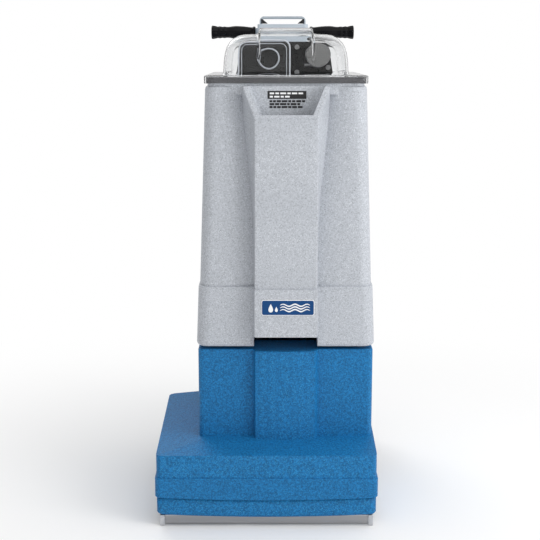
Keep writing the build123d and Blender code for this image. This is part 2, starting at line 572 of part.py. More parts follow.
with BuildPart() as tank_shell:
    add(tank_body(0))
    add(panel_block())
    box_between(-NOTCH_HALF, NOTCH_HALF, 50, NOTCH_REAR, TANK_LOW_Z - 1, PANEL_LOW_Z, mode=Mode.SUBTRACT)
    for side in (-1, 1):
        with BuildSketch(Plane.XY.offset(TANK_TOP_Z + 1)):
            with Locations((bx(side * (RIM_FLARE_HALF + 8)), dy(TANK_FRONT_HIGH - 4))):
                Circle(16)
        with BuildSketch(Plane.XY.offset(FLUTE_LOW_Z)):
            with Locations((bx(side * (PANEL_HALF + 3)), dy(TANK_FRONT_LOW + 1))):
                Circle(1.5)
        loft(mode=Mode.SUBTRACT)
    add(fill_pocket.part, mode=Mode.SUBTRACT)
    # solution chamber in front of the partition
    with BuildPart(mode=Mode.PRIVATE) as chamber:
        add(tank_body(WALL))
        box_between(-60, 60, PANEL_FACE + 10, 150, PANEL_LOW_Z + WALL, POCKET_FLOOR_Z - WALL)
        box_between(-60 - 20, 60 + 20, 50, POCKET_BACK + WALL, POCKET_FLOOR_Z - WALL, TANK_TOP_Z,
                    mode=Mode.SUBTRACT)
        box_between(-RIM_FLARE_HALF - 20, RIM_FLARE_HALF + 20, 50, TANK_FRONT_HIGH + 18, RIM_FLARE_Z - 20,
                    TANK_TOP_Z, mode=Mode.SUBTRACT)
        box_between(-NOTCH_HALF - WALL, NOTCH_HALF + WALL, 50, NOTCH_REAR + WALL, TANK_LOW_Z,
                    PANEL_LOW_Z + WALL, mode=Mode.SUBTRACT)
        box_between(-200, 200, PARTITION_DEPTH, PARTITION_DEPTH + PARTITION_T, TANK_LOW_Z, TANK_TOP_Z,
                    mode=Mode.SUBTRACT)
    add(chamber.part, mode=Mode.SUBTRACT)
    # throat through the pocket's floor into the solution chamber, and the recovery chamber's mouth
    box_between(-34, 34, PANEL_FACE + 12, POCKET_BACK - 4, POCKET_FLOOR_Z - WALL - 1, POCKET_FLOOR_Z + 1,
                mode=Mode.SUBTRACT)
    box_between(-MOUTH_HALF, MOUTH_HALF, MOUTH_FRONT, MOUTH_REAR, TANK_TOP_Z - 2 * WALL, TANK_TOP_Z + 1,
                mode=Mode.SUBTRACT)
    # raised rim that carries the gasket
    with BuildSketch(Plane.XY.offset(TANK_TOP_Z - 1)):
        with Locations((bx(0), dy((RIM_FRONT + RIM_REAR) / 2))):
            RectangleRounded(2 * RIM_HALF, RIM_REAR - RIM_FRONT, 18)
            RectangleRounded(2 * (RIM_HALF - RIM_T), RIM_REAR - RIM_FRONT - 2 * RIM_T, 13, mode=Mode.SUBTRACT)
    extrude(amount=RIM_H + 1)
    for x, depth, radius in TANK_PORTS[:2]:
        with Locations((bx(x), dy(depth), TANK_LOW_Z), (bx(x), dy(depth), TANK_TOP_Z)):
            Cylinder(radius, 4 * WALL, mode=Mode.SUBTRACT)
    with Locations((bx(DRAIN_PORT_X), dy(DRAIN_PORT_DEPTH), TANK_LOW_Z)):
        Cylinder(DRAIN_R - PIPE_T, 4 * WALL, mode=Mode.SUBTRACT)
save(tank_shell, "tank_shell")

with BuildPart() as standpipes:
    with Locations(*[(bx(x), dy(PIPE_DEPTH), (TANK_LOW_Z + TANK_TOP_Z) / 2)
                     for x in (RECOVERY_PIPE_X, VAC_PIPE_X)]):
        Cylinder(PIPE_R, TANK_TOP_Z - TANK_LOW_Z)
        Cylinder(PIPE_R - PIPE_T, TANK_TOP_Z - TANK_LOW_Z + 2, mode=Mode.SUBTRACT)
save(standpipes, "standpipes")

with BuildPart() as lid_gasket:
    with BuildSketch(Plane.XY.offset(TANK_TOP_Z + RIM_H)):
        with Locations((bx(0), dy((RIM_FRONT + RIM_REAR) / 2))):
            RectangleRounded(2 * RIM_HALF + 2, RIM_REAR - RIM_FRONT + 2, 19)
            RectangleRounded(2 * RIM_HALF - 18, RIM_REAR - RIM_FRONT - 18, 9, mode=Mode.SUBTRACT)
    extrude(amount=FLANGE_Z - 0.3 - TANK_TOP_Z - RIM_H)
save(lid_gasket, "lid_gasket")

# ---------------------------------------------------------------- separator tower
with BuildPart() as tower:
    with BuildSketch(Plane.XZ.offset(-dy(TOWER_FRONT))):
        with BuildLine():
            Polyline(
                (bx(-TOWER_BASE_HALF), TANK_TOP_Z), (bx(TOWER_BASE_HALF), TANK_TOP_Z),
                (bx(TOWER_TOP_HALF), TOWER_TOP_Z), (bx(-TOWER_TOP_HALF), TOWER_TOP_Z), close=True,
            )
        make_face()
    extrude(amount=-(TOWER_REAR - TOWER_FRONT))
    fillet(tower.edges().filter_by(Axis.Y).group_by(Axis.Z)[-1], 18)
    for pipe_x, port_x, port_z in (
        (RECOVERY_PIPE_X, INLET_X, INLET_Z), (VAC_PIPE_X, VAC_X, VAC_Z),
    ):
        with Locations((bx(pipe_x), dy(PIPE_DEPTH), (TANK_TOP_Z + port_z) / 2)):
            Cylinder(PIPE_R - PIPE_T, port_z - TANK_TOP_Z + 2, mode=Mode.SUBTRACT)
        with Locations((bx(port_x), dy((TOWER_FRONT + PIPE_DEPTH) / 2), port_z)):
            Cylinder(PORT_R, PIPE_DEPTH - TOWER_FRONT + 20, rotation=(90, 0, 0), mode=Mode.SUBTRACT)
save(tower, "tower")

with BuildPart() as port_ring:
    with Locations((bx(INLET_X), dy(TOWER_FRONT - 5), INLET_Z)):
        Cylinder(27, 10, rotation=(90, 0, 0))
        Cylinder(PORT_R, 12, rotation=(90, 0, 0), mode=Mode.SUBTRACT)
save(port_ring, "port_ring")

with BuildPart() as strainer:
    with Locations((bx(VAC_X), dy(TOWER_FRONT - 15), VAC_Z)):
        Cylinder(27, 30, rotation=(90, 0, 0))
    with Locations((bx(VAC_X), dy(TOWER_FRONT - 13), VAC_Z)):
        Cylinder(25, 30, rotation=(90, 0, 0), mode=Mode.SUBTRACT)
save(strainer, "strainer")

with BuildPart() as hose_clamp:
    with Locations((bx(VAC_X), dy(TOWER_FRONT - 7), VAC_Z)):
        Cylinder(28.5, 9, rotation=(90, 0, 0))
        Cylinder(27, 12, rotation=(90, 0, 0), mode=Mode.SUBTRACT)
    with Locations((bx(VAC_X - 22), dy(TOWER_FRONT - 7), VAC_Z - 24)):
        Cylinder(4, 16, rotation=(0, 90, 45))
    with Locations((bx(VAC_X), dy(TOWER_FRONT - 7), VAC_Z)):
        Cylinder(27, 12, rotation=(90, 0, 0), mode=Mode.SUBTRACT)
save(hose_clamp, "hose_clamp")

with BuildPart() as deflector:
    with BuildSketch(Plane.XZ.offset(-dy(DEFLECT_FRONT))):
        with Locations((bx((DEFLECT_LEFT + DEFLECT_RIGHT) / 2), (DEFLECT_TOP_Z + 904) / 2)):
            Rectangle(DEFLECT_RIGHT - DEFLECT_LEFT, DEFLECT_TOP_Z - 904)
    extrude(amount=-(TOWER_FRONT - DEFLECT_FRONT))
    fillet(deflector.edges().filter_by(Axis.Y).group_by(Axis.Z)[-1], 16)
    with BuildPart(mode=Mode.PRIVATE) as inside:
        box_between(DEFLECT_LEFT + 3, DEFLECT_RIGHT - 3, DEFLECT_FRONT + 3, TOWER_FRONT + 1, 900,
                    DEFLECT_TOP_Z - 3)
        fillet(inside.edges().filter_by(Axis.Y).group_by(Axis.Z)[-1], 13)
    add(inside.part, mode=Mode.SUBTRACT)
save(deflector, "deflector")

with BuildPart() as tower_screws:
    with Locations((bx(28), dy(TOWER_FRONT), 976), (bx(108 - 10), dy(TOWER_FRONT), 930),
                   (bx(28), dy(TOWER_FRONT), 920)):
        Cylinder(5.5, 5, rotation=(90, 0, 0), align=(Align.CENTER, Align.CENTER, Align.MIN))
save(tower_screws, "tower_screws")

# ---------------------------------------------------------------- float shut-off
with BuildPart() as float_stem:
    with Locations((bx(FLOAT_X), dy(FLOAT_DEPTH), (FLOAT_LOW_Z + TANK_TOP_Z - WALL) / 2)):
        Cylinder(4, TANK_TOP_Z - WALL - FLOAT_LOW_Z)
    with Locations((bx(FLOAT_X), dy(FLOAT_DEPTH), FLOAT_LOW_Z + 1.5)):
        Cylinder(9, 3)
    with Locations((bx(FLOAT_X), dy(FLOAT_DEPTH), TANK_TOP_Z - WALL - 5)):
        Cylinder(11, 10)
save(float_stem, "float_stem")

with BuildPart() as float_ball:
    with Locations((bx(FLOAT_X), dy(FLOAT_DEPTH), FLOAT_LOW_Z + 3 + 15)):
        Cylinder(18, 30)
        fillet(float_ball.edges(), 9)
        Cylinder(4.08, 40, mode=Mode.SUBTRACT)
save(float_ball, "float_ball")

# ---------------------------------------------------------------- tank trim and hinge
with BuildPart() as tank_badge:
    with BuildSketch(Plane.XZ.offset(-dy(PANEL_BAND_FACE))):
        with Locations((bx(4), 451.4)):
            RectangleRounded(106, 29, 4)
    extrude(amount=1.2)
save(tank_badge, "tank_badge")

with BuildPart() as fill_label:
    with BuildSketch(Plane.XZ.offset(-dy(POCKET_BACK))):
        with Locations((bx(1.6), 871)):
            Rectangle(78, 33)
    extrude(amount=0.6)
save(fill_label, "fill_label")

HINGE_R = 6.0


def hinge_leaf(knuckles, plate):
    """Hinge leaf: a plate with knuckles round the hinge pin."""
    with BuildPart() as leaf:
        for x0, x1 in knuckles:
            box_between(x0, x1, *plate)
            rod_along_x(HINGE_R, x0, x1, HINGE_DEPTH, HINGE_Z)
        rod_along_x(HINGE_PIN_R + 0.05, -200, 200, HINGE_DEPTH, HINGE_Z, mode=Mode.SUBTRACT)
    return leaf.part


with BuildPart() as tank_hinge:
    add(hinge_leaf([(-92, -70), (70, 92)], (TANK_REAR_LOW, HINGE_DEPTH - 2, HINGE_Z - 1, HINGE_Z + 2)))
    for x0, x1 in ((-92, -70), (70, 92)):
        box_between(x0, x1, TANK_REAR_LOW, TANK_REAR_LOW + 3, HINGE_Z - 1, HINGE_Z + 50)
    rod_along_x(HINGE_PIN_R + 0.05, -200, 200, HINGE_DEPTH, HINGE_Z, mode=Mode.SUBTRACT)
save(tank_hinge, "tank_hinge")

with BuildPart() as base_hinge:
    add(hinge_leaf([(-69, -47), (47, 69)], (HINGE_DEPTH - 3, HINGE_DEPTH + 3, NECK_TOP, HINGE_Z)))
save(base_hinge, "base_hinge")

with BuildPart() as hinge_pin:
    for x0, x1 in ((-94, -45), (45, 94)):
        rod_along_x(HINGE_PIN_R, x0, x1, HINGE_DEPTH, HINGE_Z)
save(hinge_pin, "hinge_pins")


# ---------------------------------------------------------------- lid
def dome_block(inset):
    """The lid's bubble and its raised ridge, outside at inset 0."""
    with BuildPart() as block:
        for z, half, front, rear in (
            (FLANGE_Z - (4 if inset else 0), DOME_BASE_HALF, DOME_FRONT, DOME_REAR),
            (DOME_TOP_Z - inset, DOME_TOP_HALF, DOME_FRONT + 12, DOME_REAR - 4),
        ):
            with BuildSketch(Plane.XY.offset(z)):
                with Locations((bx(0), dy((front + rear) / 2))):
                    RectangleRounded(2 * (half - inset), rear - front - 2 * inset, 40 - inset)
        loft()
        fillet(block.edges().group_by(Axis.Z)[-1], 32 - inset)
        with BuildSketch(side_plane(-RIDGE_HALF + inset)):
            with BuildLine():
                depth_line(
                    (DOME_FRONT + 6 + inset, 950), (DOME_FRONT + 10 + inset, RIDGE_TOP_Z - 8 - inset),
                    (DOME_FRONT + 18 + inset, RIDGE_TOP_Z - inset), (DOME_REAR - 12 - inset, RIDGE_TOP_Z - inset),
                    (DOME_REAR - 4 - inset, RIDGE_TOP_Z - 8 - inset), (DOME_REAR - 3 - inset, 950),
                )
            make_face()
        extrude(amount=2 * (RIDGE_HALF - inset))
    return block.part


with BuildPart() as lid_dome:
    with BuildSketch(Plane.XY.offset(FLANGE_Z - SKIRT_DROP)):
        with Locations((bx(0), dy((LID_FRONT + LID_REAR) / 2))):
            RectangleRounded(2 * LID_HALF, LID_REAR - LID_FRONT, 24)
    extrude(amount=SKIRT_DROP + FLANGE_T)
    fillet(lid_dome.edges().group_by(Axis.Z)[-1], 3)
    with BuildSketch(Plane.XY.offset(FLANGE_Z - SKIRT_DROP)):
        with Locations((bx(0), dy((LID_FRONT + LID_REAR) / 2))):
            RectangleRounded(2 * (LID_HALF - DOME_T), LID_REAR - LID_FRONT - 2 * DOME_T, 24 - DOME_T)
    extrude(amount=SKIRT_DROP, mode=Mode.SUBTRACT)
    add(dome_block(0))
    add(dome_block(DOME_T), mode=Mode.SUBTRACT)
save(lid_dome, "lid_dome")

# ---------------------------------------------------------------- mast
with BuildPart() as mast_bracket:
    box_between(-78, 78, NECK_REAR, NECK_REAR + 4, 236, 346)
    for x in (-TUBE_X, TUBE_X):
        for ear in (-TUBE_R - 3.4, TUBE_R + 0.4):
            with BuildSketch(side_plane(x + ear)):
                with BuildLine():
                    depth_line((NECK_REAR, 262), (NECK_REAR, 346), (PIVOT_DEPTH + 14, PIVOT_Z + 16),
                               (PIVOT_DEPTH + 16, PIVOT_Z - 14), (PIVOT_DEPTH - 12, PIVOT_Z - 24))
                make_face()
            extrude(amount=3)
    rod_along_x(PIVOT_R, -90, 90, PIVOT_DEPTH, PIVOT_Z, mode=Mode.SUBTRACT)
save(mast_bracket, "mast_bracket")

# Clamp knob, stud and nut in one for each tube; the stud is the tube's pivot.
with BuildPart() as pivot_knobs:
    for side in (-1, 1):
        inner, outer = side * (TUBE_X - TUBE_R - 10), side * (TUBE_X + TUBE_R + 3.4)
        rod_along_x(PIVOT_R, min(inner, outer), max(inner, outer), PIVOT_DEPTH, PIVOT_Z)
        rod_along_x(9, min(inner, inner + side * 6.6), max(inner, inner + side * 6.6), PIVOT_DEPTH, PIVOT_Z)
        with Locations(Plane(origin=(bx(outer), dy(PIVOT_DEPTH), PIVOT_Z), z_dir=(side, 0, 0))):
            Cylinder(11, 10, align=(Align.CENTER, Align.CENTER, Align.MIN))
            with Locations((0, 0, 10)):
                Cylinder(20, 16, align=(Align.CENTER, Align.CENTER, Align.MIN))
            with PolarLocations(23, 6):
                with Locations((0, 0, 10)):
                    Cylinder(6, 17, align=(Align.CENTER, Align.CENTER, Align.MIN), mode=Mode.SUBTRACT)
save(pivot_knobs, "pivot_knobs")

TUBE_PLANES = [
    Plane(
        origin=(bx(x), dy(PIVOT_DEPTH), PIVOT_Z),
        x_dir=(1, 0, 0),
        z_dir=(0, math.sin(math.radians(MAST_LEAN)), math.cos(math.radians(MAST_LEAN))),
    )
    for x in (-TUBE_X, TUBE_X)
]

with BuildPart() as mast_tubes:
    with Locations(*[plane.offset(-TUBE_BELOW) for plane in TUBE_PLANES]):
        Cylinder(TUBE_R, TUBE_BELOW + TUBE_ABOVE, align=(Align.CENTER, Align.CENTER, Align.MIN))
        Cylinder(TUBE_R - 2, TUBE_BELOW + TUBE_ABOVE, align=(Align.CENTER, Align.CENTER, Align.MIN),
                 mode=Mode.SUBTRACT)
    with Locations(*[plane.offset(300) for plane in TUBE_PLANES]):
        Cylinder(TUBE_R - 2, 4)
    rod_along_x(7, -TUBE_X, TUBE_X, *along_mast(300))
    with Locations(*[plane for plane in TUBE_PLANES]):
        Cylinder(PIVOT_R + 5, 2 * TUBE_R, rotation=(0, 90, 0))
    rod_along_x(PIVOT_R + 0.05, -90, 90, PIVOT_DEPTH, PIVOT_Z, mode=Mode.SUBTRACT)
save(mast_tubes, "mast_tubes")

with BuildPart() as handlebar:
    rod_along_x(BAR_R, -BAR_HALF, BAR_HALF, BAR_DEPTH, BAR_Z)
    rod_along_x(BAR_R - 2, -BAR_HALF, BAR_HALF, BAR_DEPTH, BAR_Z, mode=Mode.SUBTRACT)
save(handlebar, "handlebar")

# Grip profile, from the console outwards: (distance out, radius).
GRIP_PROFILE = ((0, 13.5), (8, 14.5), (50, 16), (78, 14.8), (98, 15.4), (108, 17.6), (113, 17), (114, 15))
with BuildPart() as grips:
    for side in (-1, 1):
        with BuildSketch(Plane(origin=(bx(side * GRIP_IN), dy(BAR_DEPTH), BAR_Z), x_dir=(side, 0, 0),
                               z_dir=(0, -side, 0))):
            with BuildLine():
                Polyline((0, 0), (0, 13.5))
                Spline(*GRIP_PROFILE)
                Polyline((114, 15), (114, 0), (0, 0))
            make_face()
        revolve(axis=Axis((bx(0), dy(BAR_DEPTH), BAR_Z), (1, 0, 0)))
    rod_along_x(BAR_R, -BAR_HALF, BAR_HALF, BAR_DEPTH, BAR_Z, mode=Mode.SUBTRACT)
save(grips, "grips")

# ---------------------------------------------------------------- console
with BuildPart() as console_case:
    box_between(-CONSOLE_HALF, CONSOLE_HALF, CONSOLE_FRONT, CONSOLE_REAR, CONSOLE_LOW_Z, CONSOLE_TOP_Z)
    fillet(console_case.edges().filter_by(Axis.Z), 9)
    fillet(console_case.edges().group_by(Axis.Z)[-1], 4)
    fillet(console_case.edges().group_by(Axis.Z)[0], 4)
    with BuildPart(mode=Mode.PRIVATE) as inside:
        box_between(
            -CONSOLE_HALF + CONSOLE_WALL, CONSOLE_HALF - CONSOLE_WALL, CONSOLE_FRONT + CONSOLE_WALL,
            CONSOLE_REAR - CONSOLE_WALL, CONSOLE_LOW_Z + CONSOLE_WALL, CONSOLE_TOP_Z - CONSOLE_WALL,
        )
    add(inside.part, mode=Mode.SUBTRACT)
    box_between(-54, 54, CONSOLE_REAR - 10, CONSOLE_REAR + 1, 964, 1020, mode=Mode.SUBTRACT)
    with Locations(*TUBE_PLANES):
        Cylinder(TUBE_R, TUBE_ABOVE, align=(Align.CENTER, Align.CENTER, Align.MIN), mode=Mode.SUBTRACT)
    rod_along_x(BAR_R, -BAR_HALF, BAR_HALF, BAR_DEPTH, BAR_Z, mode=Mode.SUBTRACT)
    rod_along_x(LOOP_R + 0.05, -CONSOLE_HALF - 1, CONSOLE_HALF + 1, LOOP_DEPTH, LOOP_PIVOT_Z,
                mode=Mode.SUBTRACT)
    for side in (-1, 1):
        leg = side * (LOOP_HALF - LOOP_R)
        box_between(leg - 4.5, leg + 4.5, LOOP_DEPTH - 5, LOOP_DEPTH + 9, CONSOLE_TOP_Z - 8,
                    CONSOLE_TOP_Z + 1, mode=Mode.SUBTRACT)
save(console_case, "console_case")

with BuildPart() as switch_panel:
    box_between(-58, 58, CONSOLE_REAR, CONSOLE_REAR + 2, 960, 1024)
    fillet(switch_panel.edges().filter_by(Axis.Y), 5)
    for x in SWITCH_X:
        box_between(x - SWITCH_HALF[0] - 0.6, x + SWITCH_HALF[0] + 0.6, CONSOLE_REAR - 1, CONSOLE_REAR + 3,
                    SWITCH_Z - SWITCH_HALF[1] - 1.2, SWITCH_Z + SWITCH_HALF[1] + 1.2, mode=Mode.SUBTRACT)
    with Locations((bx(BREAKER_X), dy(CONSOLE_REAR), BREAKER_Z)):
        Cylinder(BREAKER_R + 0.05, 10, rotation=(90, 0, 0), mode=Mode.SUBTRACT)
    with Locations((bx(GLAND_X), dy(CONSOLE_REAR), BREAKER_Z)):
        Cylinder(6, 10, rotation=(90, 0, 0), mode=Mode.SUBTRACT)
save(switch_panel, "switch_panel")

for x, word in zip(SWITCH_X, ("pump", "vacuum", "brush")):
    with BuildPart() as rocker:
        pivot = Plane(origin=(bx(x), dy(CONSOLE_REAR + 1), SWITCH_Z), x_dir=(0, 1, 0), z_dir=(1, 0, 0))
        with BuildSketch(pivot.rotated((0, 0, ROCKER_TILT)).offset(-SWITCH_HALF[0])):
            with BuildLine():
                Polyline((3.2, -9.3), (0, -9.5), (-5, -7), (-9, -4),
                         (-9, 4), (-5, 7), (0, 9.5), (3.2, 9.3))
                ThreePointArc((3.2, 9.3), (1.6, 0), (3.2, -9.3))
            make_face()
        extrude(amount=2 * SWITCH_HALF[0])
    save(rocker, f"{word}_rocker")

with BuildPart() as breaker_button:
    with Locations((bx(BREAKER_X), dy(CONSOLE_REAR - 4), BREAKER_Z)):
        Cylinder(BREAKER_R, 9, rotation=(-90, 0, 0), align=(Align.CENTER, Align.CENTER, Align.MIN))
        Cylinder(BREAKER_R + 2, 2, rotation=(-90, 0, 0), align=(Align.CENTER, Align.CENTER, Align.MIN))
save(breaker_button, "breaker_button")

with BuildPart() as cord_gland:
    with Locations((bx(GLAND_X), dy(CONSOLE_REAR - 6), BREAKER_Z)):
        Cylinder(6, 9, rotation=(-90, 0, 0), align=(Align.CENTER, Align.CENTER, Align.MIN))
    with BuildSketch(Plane.XZ.offset(-dy(CONSOLE_REAR + 2))):
        with Locations((bx(GLAND_X), BREAKER_Z)):
            RegularPolygon(10, 6)
    extrude(amount=-4)
    with Locations((bx(GLAND_X), dy(CONSOLE_REAR), BREAKER_Z)):
        Cylinder(3.5, 30, rotation=(90, 0, 0), mode=Mode.SUBTRACT)
save(cord_gland, "cord_gland")

# Spray bail: a closed loop of rod, turning on its own bottom bar inside the console.
with BuildPart() as spray_loop:
    with BuildLine(Plane.XZ.offset(-dy(LOOP_DEPTH))) as loop_path:
        FilletPolyline(
            (bx(-LOOP_HALF + LOOP_R), LOOP_PIVOT_Z), (bx(-LOOP_HALF + LOOP_R), LOOP_TOP_Z - LOOP_R),
            (bx(LOOP_HALF - LOOP_R), LOOP_TOP_Z - LOOP_R), (bx(LOOP_HALF - LOOP_R), LOOP_PIVOT_Z),
            radius=8,
        )
    with BuildSketch(Plane(origin=loop_path.line @ 0, z_dir=loop_path.line % 0)):
        Circle(LOOP_R)
    sweep()
    rod_along_x(LOOP_R, -CONSOLE_HALF, CONSOLE_HALF, LOOP_DEPTH, LOOP_PIVOT_Z)
save(spray_loop, "spray_loop")

with BuildPart() as loop_boots:
    for side in (-1, 1):
        inner = side * (LOOP_HALF - 2 * LOOP_R - 0.4)
        with BuildSketch(Plane.XZ.offset(-dy(LOOP_DEPTH - 3))):
            with BuildLine():
                Polyline((bx(inner), CONSOLE_TOP_Z + 1.5), (bx(inner), CONSOLE_TOP_Z + 9),
                         (bx(inner - side * 13), CONSOLE_TOP_Z + 1.5), close=True)
            make_face()
        extrude(amount=-6)
save(loop_boots, "loop_boots")

# ---------------------------------------------------------------- drain and fasteners
with BuildPart() as drain_hose:
    add(hose(
        [
            (DRAIN_PORT_X, DRAIN_PORT_DEPTH, SEAL_LOW_Z),
            (DRAIN_PORT_X, DRAIN_PORT_DEPTH, DRAIN_TURN_Z),
            (DRAIN_X, DRAIN_PORT_DEPTH + 20, DRAIN_TURN_Z),
            (DRAIN_X, 548, DRAIN_TURN_Z),
            (DRAIN_X, 548, 130),
        ],
        DRAIN_R, 24, 2.5,
    ))
    with Locations((bx(DRAIN_X), dy(548), 118)):
        Cylinder(16.5, 24)
save(drain_hose, "drain_hose")

with BuildPart() as drain_clips:
    for z in (170, 245):
        box_between(DRAIN_X - 12, DRAIN_X + 12, NECK_REAR, NECK_REAR + 6, z - 8, z + 8)
        with Locations((bx(DRAIN_X), dy(548), z)):
            Cylinder(18, 16)
            Cylinder(15.2, 20, mode=Mode.SUBTRACT)
        box_between(DRAIN_X - 9, DRAIN_X + 9, 552, 570, z - 9, z + 9, mode=Mode.SUBTRACT)
save(drain_clips, "drain_clips")

with BuildPart() as housing_screws:
    for x in (-66, 66):
        for z in (246, 336):
            with Locations((bx(x), dy(NECK_REAR + 4), z)):
                Cylinder(6, 3.5, rotation=(-90, 0, 0), align=(Align.CENTER, Align.CENTER, Align.MIN))
save(housing_screws, "housing_screws")
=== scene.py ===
"""Looks of the spot extractor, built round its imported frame.

Helpers take millimetres in the machine's own terms: `across` is the distance to the right of the tank's
centreline, `depth` the distance behind the front of the brush deck, `height` the distance off the floor.
A loft is a list of rings of points with the same count, and a mould is a union of lofts less others.
"""

import json
import math
import random

import bmesh
import bpy
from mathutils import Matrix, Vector


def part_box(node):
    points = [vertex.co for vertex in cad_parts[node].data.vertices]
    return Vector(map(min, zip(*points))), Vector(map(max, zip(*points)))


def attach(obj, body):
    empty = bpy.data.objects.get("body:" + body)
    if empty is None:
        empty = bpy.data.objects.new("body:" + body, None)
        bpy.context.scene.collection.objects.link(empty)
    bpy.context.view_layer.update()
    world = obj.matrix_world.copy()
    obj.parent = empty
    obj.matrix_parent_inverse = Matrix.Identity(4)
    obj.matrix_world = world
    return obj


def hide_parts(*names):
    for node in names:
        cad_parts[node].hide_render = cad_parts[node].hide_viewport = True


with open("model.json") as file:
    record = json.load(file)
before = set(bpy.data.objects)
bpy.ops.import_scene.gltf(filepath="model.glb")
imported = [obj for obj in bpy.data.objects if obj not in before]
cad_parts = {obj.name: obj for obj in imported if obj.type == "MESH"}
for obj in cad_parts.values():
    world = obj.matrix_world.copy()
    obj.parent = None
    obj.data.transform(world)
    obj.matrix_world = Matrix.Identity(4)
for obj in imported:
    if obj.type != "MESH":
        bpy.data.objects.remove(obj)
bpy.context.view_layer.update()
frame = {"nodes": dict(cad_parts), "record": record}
MM = 0.001
random.seed(7)

BODY_X = sum(corner.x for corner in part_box("tank_shell")) / 2
FRONT_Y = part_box("base_housing")[0].y


# ---------------------------------------------------------------- places and meshes
def shade_smooth(mesh, smooth=True):
    """Shades every face of a mesh smooth, or flat."""
    for polygon in mesh.polygons:
        polygon.use_smooth = smooth


def at(across, depth, height):
    """Point in the row frame, in metres."""
    return Vector((BODY_X + across * MM, FRONT_Y + depth * MM, height * MM))


def across_of(x):
    """Distance in mm to the right of the tank's centreline."""
    return (x - BODY_X) / MM


def new_object(name, bm):
    """Turns a bmesh into a linked, smooth-shaded object with outward normals."""
    bmesh.ops.recalc_face_normals(bm, faces=bm.faces)
    mesh = bpy.data.meshes.new(name)
    bm.to_mesh(mesh)
    bm.free()
    shade_smooth(mesh)
    piece = bpy.data.objects.new(name, mesh)
    bpy.context.scene.collection.objects.link(piece)
    return piece


def loft_bm(rings, close=True):
    """Skin of quads through rings of points, as a bmesh with flat ends unless it is left open."""
    bm = bmesh.new()
    levels = [[bm.verts.new(point) for point in ring] for ring in rings]
    count = len(rings[0])
    for low, high in zip(levels, levels[1:]):
        for i in range(count):
            j = (i + 1) % count
            bm.faces.new((low[i], low[j], high[j], high[i]))
    if close:
        bm.faces.new(list(reversed(levels[0])))
        bm.faces.new(levels[-1])
    return bm


def rounded_rect(x0, x1, d0, d1, height, radius, steps=6):
    """Ring of points round a rectangle with round corners, at one height."""
    radius = max(radius, 0.5)
    points = []
    for cx, cd, start in (
        (x1 - radius, d1 - radius, 0), (x0 + radius, d1 - radius, 90),
        (x0 + radius, d0 + radius, 180), (x1 - radius, d0 + radius, 270),
    ):
        for i in range(steps + 1):
            a = math.radians(start + 90 * i / steps)
            points.append(at(cx + radius * math.cos(a), cd + radius * math.sin(a), height))
    return points


def block(x0, x1, d0, d1, z0, z1, radius, steps=6, edge=0.0):
    """Upright block with round corners, as rings; `edge` rounds its top and bottom edges."""
    rings = []
    if edge:
        for i in range(5):
            a = math.radians(90 * i / 4)
            inset, rise = edge * (1 - math.sin(a)), edge * (1 - math.cos(a))
            sides = (x0 + inset, x1 - inset, d0 + inset, d1 - inset)
            rings.append(rounded_rect(*sides, z0 + rise, radius, steps))
        rings += [[Vector((p.x, p.y, (z0 + z1) * MM - p.z)) for p in ring] for ring in reversed(rings)]
    else:
        rings = [rounded_rect(x0, x1, d0, d1, z, radius, steps) for z in (z0, z1)]
    return rings


def rod_rings(start, end, radius, steps=32):
    """Two rings of a straight rod between two points in metres, with its radius in mm."""
    axis = (end - start).normalized()
    side = axis.orthogonal().normalized()
    other = axis.cross(side)
    angles = [2 * math.pi * i / steps for i in range(steps)]
    return [
        [centre + (side * math.cos(a) + other * math.sin(a)) * radius * MM for a in angles]
        for centre in (start, end)
    ]


def lathe(name, origin, axis, profile, steps, ripple):
    """Turned piece from (distance along the axis, radius) in mm; ripple adds to the radius round it."""
    axis = Vector(axis).normalized()
    side = axis.orthogonal().normalized()
    other = axis.cross(side)
    bm = bmesh.new()
    rows = []
    for distance, radius in profile:
        row = []
        for i in range(steps):
            a = 2 * math.pi * i / steps
            spoke = (side * math.cos(a) + other * math.sin(a)) * (radius + ripple(distance, radius, a))
            row.append(bm.verts.new(origin + axis * distance * MM + spoke * MM))
        rows.append(row)
    for low, high in zip(rows, rows[1:]):
        for i in range(steps):
            j = (i + 1) % steps
            bm.faces.new((low[i], low[j], high[j], high[i]))
    bmesh.ops.remove_doubles(bm, verts=bm.verts, dist=1e-6)
    return new_object(name, bm)


def bake_modifiers(piece):
    """Applies a piece's modifiers to its mesh."""
    depsgraph = bpy.context.evaluated_depsgraph_get()
    mesh = bpy.data.meshes.new_from_object(piece.evaluated_get(depsgraph))
    old = piece.data
    piece.modifiers.clear()
    piece.data = mesh
    bpy.data.meshes.remove(old)
    shade_smooth(mesh)
    return piece


def solid_mesh(name, lofts):
    """One mesh of several closed lofts, which may overlap; a loft may be cut by planes (point, normal)."""
    bm = bmesh.new()
    for rings in lofts:
        planes = []
        if isinstance(rings, tuple):
            rings, planes = rings
        part = loft_bm(rings)
        for point, normal in planes:
            geometry = part.verts[:] + part.edges[:] + part.faces[:]
            cut = bmesh.ops.bisect_plane(
                part, geom=geometry, plane_co=point, plane_no=normal, clear_outer=True,
            )
            rim = [item for item in cut["geom_cut"] if isinstance(item, bmesh.types.BMEdge)]
            bmesh.ops.contextual_create(part, geom=rim)
        mesh = bpy.data.meshes.new("part")
        part.to_mesh(mesh)
        part.free()
        bm.from_mesh(mesh)
        bpy.data.meshes.remove(mesh)
    return new_object(name, bm)


